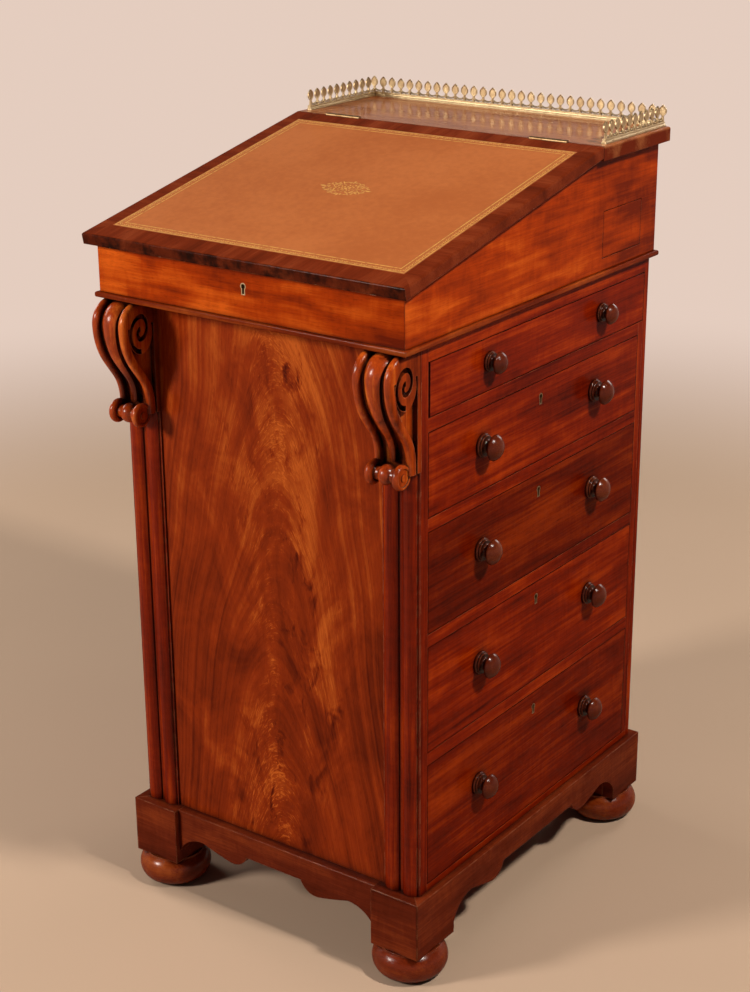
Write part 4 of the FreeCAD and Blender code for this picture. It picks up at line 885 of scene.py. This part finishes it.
class DAVENPORT_OT_carcase(Operator):
    """Polishes the carcase, its panel, pilasters and scrolls"""

    bl_idname = "davenport.carcase"
    bl_label = "Carcase"

    def execute(self, context):
        # Front panel: darker where the pilasters and scrolls meet it, grime and painted shade
        dress(polished_wood("flame_veneer", "flame", tones("flame"), shade_and_dirt=0.7), "front_panel")
        # Reeds: lighter edges partly a painted highlight, grooves darkened with painted shade
        reeds = {"wear": 0.6, "polish": 0.3, "gloss": 0.25, "rounding": 0.0018, "shade_and_dirt": 1.0, "reach": 0.014}
        dress(polished_wood("pilaster_wood", "z", tones("drawer", 0.9), 1, **reeds), "pilasters")
        dress(polished_wood("stile_wood", "z", tones("drawer"), 26, "soft"), "drawer_stiles")
        # Scrolls: lighter edges partly a painted highlight, grooves darkened with painted shade, and painted
        # shade towards the back
        scroll = {"wear": 0.9, "polish": 0.65, "side_polish": 0.12, "gloss": 0.22, "shade_and_dirt": 1.0, "reach": 0.03}
        scroll["fade"] = (1, -0.25, -0.222, -0.06)
        dress(polished_wood("scroll_wood", "z", tones("scroll", 1.05), 2, "soft", **scroll), "corbels")
        rails = polished_wood("rail_wood", "y", tones("drawer"), 3, "soft")
        dress(rails, "drawer_rails", "carcase_left_side", "carcase_bottom")
        dress(polished_wood("back_wood", "z", tones("drawer"), 4), "carcase_back")
        dress(plain_wood("runner_wood", "x", tones("lining"), 5), "carcase_top", "drawer_runners")
        return {"FINISHED"}


class DAVENPORT_OT_plinth(Operator):
    """Polishes the plinth and its bun feet"""

    bl_idname = "davenport.plinth"
    bl_label = "Plinth and feet"

    def execute(self, context):
        # Lighter plinth edges: worn polish and a painted highlight
        worn_and_highlight = {"look": "quiet", "wear": 0.35, "rounding": 0.0024}
        dress(polished_wood("plinth_side_wood", "y", tones("frame"), 6, **worn_and_highlight), "plinth_sides")
        ends = polished_wood("plinth_front_wood", "x", tones("frame"), 7, **worn_and_highlight)
        dress(ends, "plinth_front", "plinth_back")
        dress(polished_wood("plinth_block_wood", "x", tones("frame"), 8, **worn_and_highlight), "plinth_blocks")
        feet = polished_wood("foot_wood", "x", tones("flame", 0.6), 9, "quiet", polish=0.5, gloss=0.22)
        dress(feet, "bun_feet")
        return {"FINISHED"}


# Brightness of the drawer fronts from the top down
DRAWER_LEVELS = (1.05, 0.98, 0.62, 0.98, 0.78)


class DAVENPORT_OT_drawers(Operator):
    """Polishes the drawer fronts and knobs, and lines the drawers"""

    bl_idname = "davenport.drawers"
    bl_label = "Drawers"

    def execute(self, context):
        lining = plain_wood("drawer_lining", "x", tones("lining"), 10)
        # Knobs: necks darkened with painted shade, edges lightened partly as a painted highlight
        turned = {"wear": 0.7, "polish": 0.45, "gloss": 0.17, "shade_and_dirt": 1.0, "reach": 0.03}
        knob = polished_wood("knob_wood", "x", tones("knob"), 11, "quiet", **turned)
        # Drawer fronts: dark edges of grime and the painted shade of the gaps, and painted shadow round the
        # knobs
        edges = {"look": "soft", "wear": 1.0, "rounding": 0.0022, "grimy": True, "shade_and_dirt": 1.0, "reach": 0.02}
        for number, level in enumerate(DRAWER_LEVELS, 1):
            name = "drawer_%d_" % number
            veneer = polished_wood(name + "veneer", "y", tones("drawer", level), 11 + number, **edges)
            dress(veneer, name + "front")
            dress(lining, name + "box")
            dress(knob, name + "knobs")
        dress(polished_wood("dummy_veneer", "y", tones("drawer"), 18, **edges), "dummy_fronts")
        dress(knob, "dummy_knobs")
        return {"FINISHED"}


class DAVENPORT_OT_desk_box(Operator):
    """Polishes the desk box, its lid and shelf, and finishes the inside"""

    bl_idname = "davenport.desk_box"
    bl_label = "Desk box"

    def execute(self, context):
        ends = polished_wood("desk_front_veneer", "x", tones("case"), 19, "mottled", 0.08)
        dress(ends, "desk_front", "desk_back")
        # Desk sides darker towards the back: painted shade
        cut = {"look": "mottled", "figure": 0.08, "fade": (1, -0.02, 0.22, -0.08)}
        sides = polished_wood("desk_side_veneer", "y", tones("case"), 20, **cut)
        dress(sides, "desk_left_side", "desk_right_side")
        # Pen drawer: dark edges of grime and the painted shade of its gap
        cut.update(wear=1.0, rounding=0.002, grimy=True)
        dress(polished_wood("pen_drawer_veneer", "y", tones("case"), 20, **cut), "pen_drawer")
        moulding = polished_wood("moulding_wood", "round", tones("flame", 0.7), 21, "soft", wear=0.9)
        dress(moulding, "waist_moulding")
        shelf = {"look": "quiet", "polish": 0.5, "gloss": 0.12, "side_polish": 0.1}
        # Shelf darker below its top face: painted shade
        shelf["fade"] = (2, 0.8395, 0.836, -0.1)
        dress(polished_wood("shelf_wood", "x", tones("shelf", 0.95), 22, **shelf), "top_shelf")
        # Lid: the edge toward the writer darkened in patches with grime and painted shade; lighter edges
        # partly a painted highlight
        lid = {"look": "quiet", "figure": 0.0, "wear": 0.8, "polish": 0.1, "alone": True, "front_grime_and_shade": 0.95}
        dress(polished_wood("lid_wood", "bands", tones("lid"), 23, **lid), "lid_board")
        lining = plain_wood("desk_lining", "x", tones("lining"), 24)
        dress(lining, "desk_bottom", "inside_partitions", "inside_drawer_left", "inside_drawer_right")
        return {"FINISHED"}


class DAVENPORT_OT_leather(Operator):
    """Covers the writing surface with tooled leather"""

    bl_idname = "davenport.leather"
    bl_label = "Leather"

    def execute(self, context):
        dress(leather_finish("tan_hide"), "lid_leather")
        place, half_x, half_y = lid_plane()
        gold = gilt_finish("gold_leaf")
        border = partial(gilt_border, half_x=half_x, half_y=half_y)
        for name, draw in (("gilt_border", border), ("gilt_emblem", gilt_emblem)):
            shape = bmesh.new()
            draw(shape)
            bmesh.ops.transform(shape, matrix=place, verts=shape.verts)
            add_piece(name, shape, gold, "lid")
        return {"FINISHED"}


class DAVENPORT_OT_brass(Operator):
    """Finishes the gallery, hinges and locks"""

    bl_idname = "davenport.brass"
    bl_label = "Brass and steel"

    def execute(self, context):
        shape = bmesh.new()
        pierced_gallery(shape)
        rail_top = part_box("gallery")[0][2] + settings().gallery.rail_height
        brass = brass_finish("gallery_brass", 0.0, rail_top)
        gallery = add_piece("pierced_gallery", shape, brass, "carcase")
        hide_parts("gallery")
        dress(brass_finish("hinge_brass", 0.7), "hinge_shelf_leaves", "hinge_lid_leaves")
        dress(brass_finish("fitting_brass", 0.2), "lid_lock", "lock_link_plate")
        linings = brass_finish("keyhole_brass", 0.75)
        bolts = steel_finish("bolt_steel")
        dress(bolts, "lid_lock_bolt")
        for number in range(2, 6):
            dress(linings, "drawer_%d_lock" % number)
            dress(bolts, "drawer_%d_bolt" % number)
        return {"FINISHED"}


def area_lamp(name, watts, width, place, target, tint):
    data = bpy.data.lights.new(name, "AREA")
    data.energy = watts
    data.size = width
    data.color = tint
    lamp = add_object(name, data)
    lamp.location = place
    lamp.rotation_mode = "QUATERNION"
    lamp.rotation_quaternion = (Vector(target) - Vector(place)).to_track_quat("-Z", "Y")


# The photograph's viewpoint: place in metres, then angles in degrees
CAMERA_PLACE = (1.17071, -1.62979, 1.20232)
CAMERA_AZIMUTH, CAMERA_ELEVATION, CAMERA_ROLL = 36.0896, 20.6695, -0.4267
SENSOR = 36.0


def make_camera(focal):
    """Looks at the desk as the photograph does."""
    azimuth = math.radians(CAMERA_AZIMUTH)
    elevation = math.radians(CAMERA_ELEVATION)
    roll = math.radians(CAMERA_ROLL)
    flat = math.cos(elevation)
    back = Vector((math.sin(azimuth) * flat, -math.cos(azimuth) * flat, math.sin(elevation)))
    right = Vector((math.cos(azimuth), math.sin(azimuth), 0.0))
    up = back.cross(right)
    side = right * math.cos(roll) + up * math.sin(roll)
    top = up * math.cos(roll) - right * math.sin(roll)
    data = bpy.data.cameras.new("camera")
    data.sensor_fit = "AUTO"
    data.sensor_width = SENSOR
    data.lens = focal
    camera = add_object("camera", data)
    turn = Matrix((side, top, back)).transposed().to_4x4()
    camera.matrix_world = Matrix.Translation(CAMERA_PLACE) @ turn
    bpy.context.scene.camera = camera


FLOOR_RADIUS = 30.0
# Distances from the desk between which the floor turns into the background
FLOOR_FADE = (1.25, 2.5)


def make_floor(near, far):
    """A plain floor that turns into the pale background."""
    mesh = bpy.data.meshes.new("floor")
    shape = bmesh.new()
    bmesh.ops.create_circle(shape, cap_ends=True, segments=64, radius=FLOOR_RADIUS)
    shape.to_mesh(mesh)
    shape.free()
    floor = add_object("floor", mesh)
    finish = Finish("pale_floor")
    tone = finish.mix(finish.speckle(2, 3, 0.5), near, dimmed(near, 0.94))
    finish.shade(Base_Color=tone, Roughness=0.9, Specular_IOR_Level=0.1)
    away = finish.node("ShaderNodeVectorMath", {0: finish.place}, operation="LENGTH").outputs["Value"]
    share = finish.times(finish.seen(), finish.spread(away, *FLOOR_FADE))
    pale = finish.node("ShaderNodeEmission", {"Color": far}).outputs[0]
    both = finish.node("ShaderNodeMixShader", {0: share, 1: finish.shader.outputs[0], 2: pale}).outputs[0]
    finish.feed(finish.output.inputs["Surface"], both)
    mesh.materials.append(finish.material)


SKY_TINT = (1.0, 0.95, 0.9)
# Heights between which the sky turns into the background
SKY_FADE = (0.55, 0.3)


def make_sky(level, far):
    """Even light, with the pale background low down where polish and brass mirror it."""
    world = bpy.data.worlds.new("studio")
    bpy.context.scene.world = world
    world.use_nodes = True
    sky = Nodes(world.node_tree)
    height = sky.parts(sky.node("ShaderNodeTexCoord").outputs["Generated"])[2]
    share = sky.times(sky.seen(), sky.spread(height, *SKY_FADE))
    even = sky.node("ShaderNodeBackground", {"Color": SKY_TINT, "Strength": level}).outputs[0]
    pale = sky.node("ShaderNodeBackground", {"Color": far}).outputs[0]
    both = sky.node("ShaderNodeMixShader", {0: share, 1: even, 2: pale}).outputs[0]
    sky.node("ShaderNodeOutputWorld", {"Surface": both})


# Name, setting of the power, size, place and tint of each lamp
LAMPS = (
    ("key", "key_power", 0.2, (1.75, -0.15, 2.35), (1.0, 0.92, 0.82)),
    ("fill", "fill_power", 0.5, (-1.4, -2.4, 1.7), (1.0, 0.93, 0.85)),
    ("left", "rear_power", 1.0, (-2.6, 0.1, 1.5), SKY_TINT),
    ("rear", "rear_power", 1.0, (0.3, 2.7, 1.5), SKY_TINT),
)
LAMP_AIM = (0.0, 0.0, 0.45)


class DAVENPORT_OT_stage(Operator):
    """Sets the floor, the lamps and the camera"""

    bl_idname = "davenport.stage"
    bl_label = "Stage"

    def execute(self, context):
        stage = settings().stage
        make_floor(stage.floor, stage.far)
        make_sky(stage.sky, stage.far)
        for name, setting, width, place, tint in LAMPS:
            area_lamp(name, getattr(stage, setting), width, place, LAMP_AIM, tint)
        make_camera(stage.focal)
        context.scene.view_settings.view_transform = "Standard"
        return {"FINISHED"}


class DavenportSettings(PropertyGroup):
    """All values that a user would change."""

    wood: PointerProperty(name="Wood", description="Colours of the woods", type=WoodSettings)
    leather: PointerProperty(name="Leather", description="Leather and tooling", type=LeatherSettings)
    gallery: PointerProperty(name="Gallery", description="Pierced brass gallery", type=GallerySettings)
    metal: PointerProperty(name="Metal", description="Brass and steel", type=MetalSettings)
    stage: PointerProperty(name="Stage", description="Camera, floor and lamps", type=StageSettings)


OPERATORS = (
    DAVENPORT_OT_stage,
    DAVENPORT_OT_carcase,
    DAVENPORT_OT_plinth,
    DAVENPORT_OT_drawers,
    DAVENPORT_OT_desk_box,
    DAVENPORT_OT_leather,
    DAVENPORT_OT_brass,
)


class DAVENPORT_PT_panel(Panel):
    """Lists the desk's pieces"""

    bl_idname = "DAVENPORT_PT_panel"
    bl_label = "Davenport desk"
    bl_space_type = "VIEW_3D"
    bl_region_type = "UI"
    bl_category = "Davenport"

    def draw(self, context):
        for operator in OPERATORS:
            self.layout.operator(operator.bl_idname)


CLASSES = (
    WoodSettings,
    LeatherSettings,
    GallerySettings,
    MetalSettings,
    StageSettings,
    DavenportSettings,
    *OPERATORS,
    DAVENPORT_PT_panel,
)


def register():
    for made in CLASSES:
        bpy.utils.register_class(made)
    bpy.types.Scene.davenport = PointerProperty(type=DavenportSettings)


def unregister():
    del bpy.types.Scene.davenport
    for made in reversed(CLASSES):
        bpy.utils.unregister_class(made)


def main():
    register()
    bpy.ops.davenport.stage()
    bpy.ops.davenport.carcase()
    bpy.ops.davenport.plinth()
    bpy.ops.davenport.drawers()
    bpy.ops.davenport.desk_box()
    bpy.ops.davenport.leather()
    bpy.ops.davenport.brass()


if __name__ == "__main__":
    main()
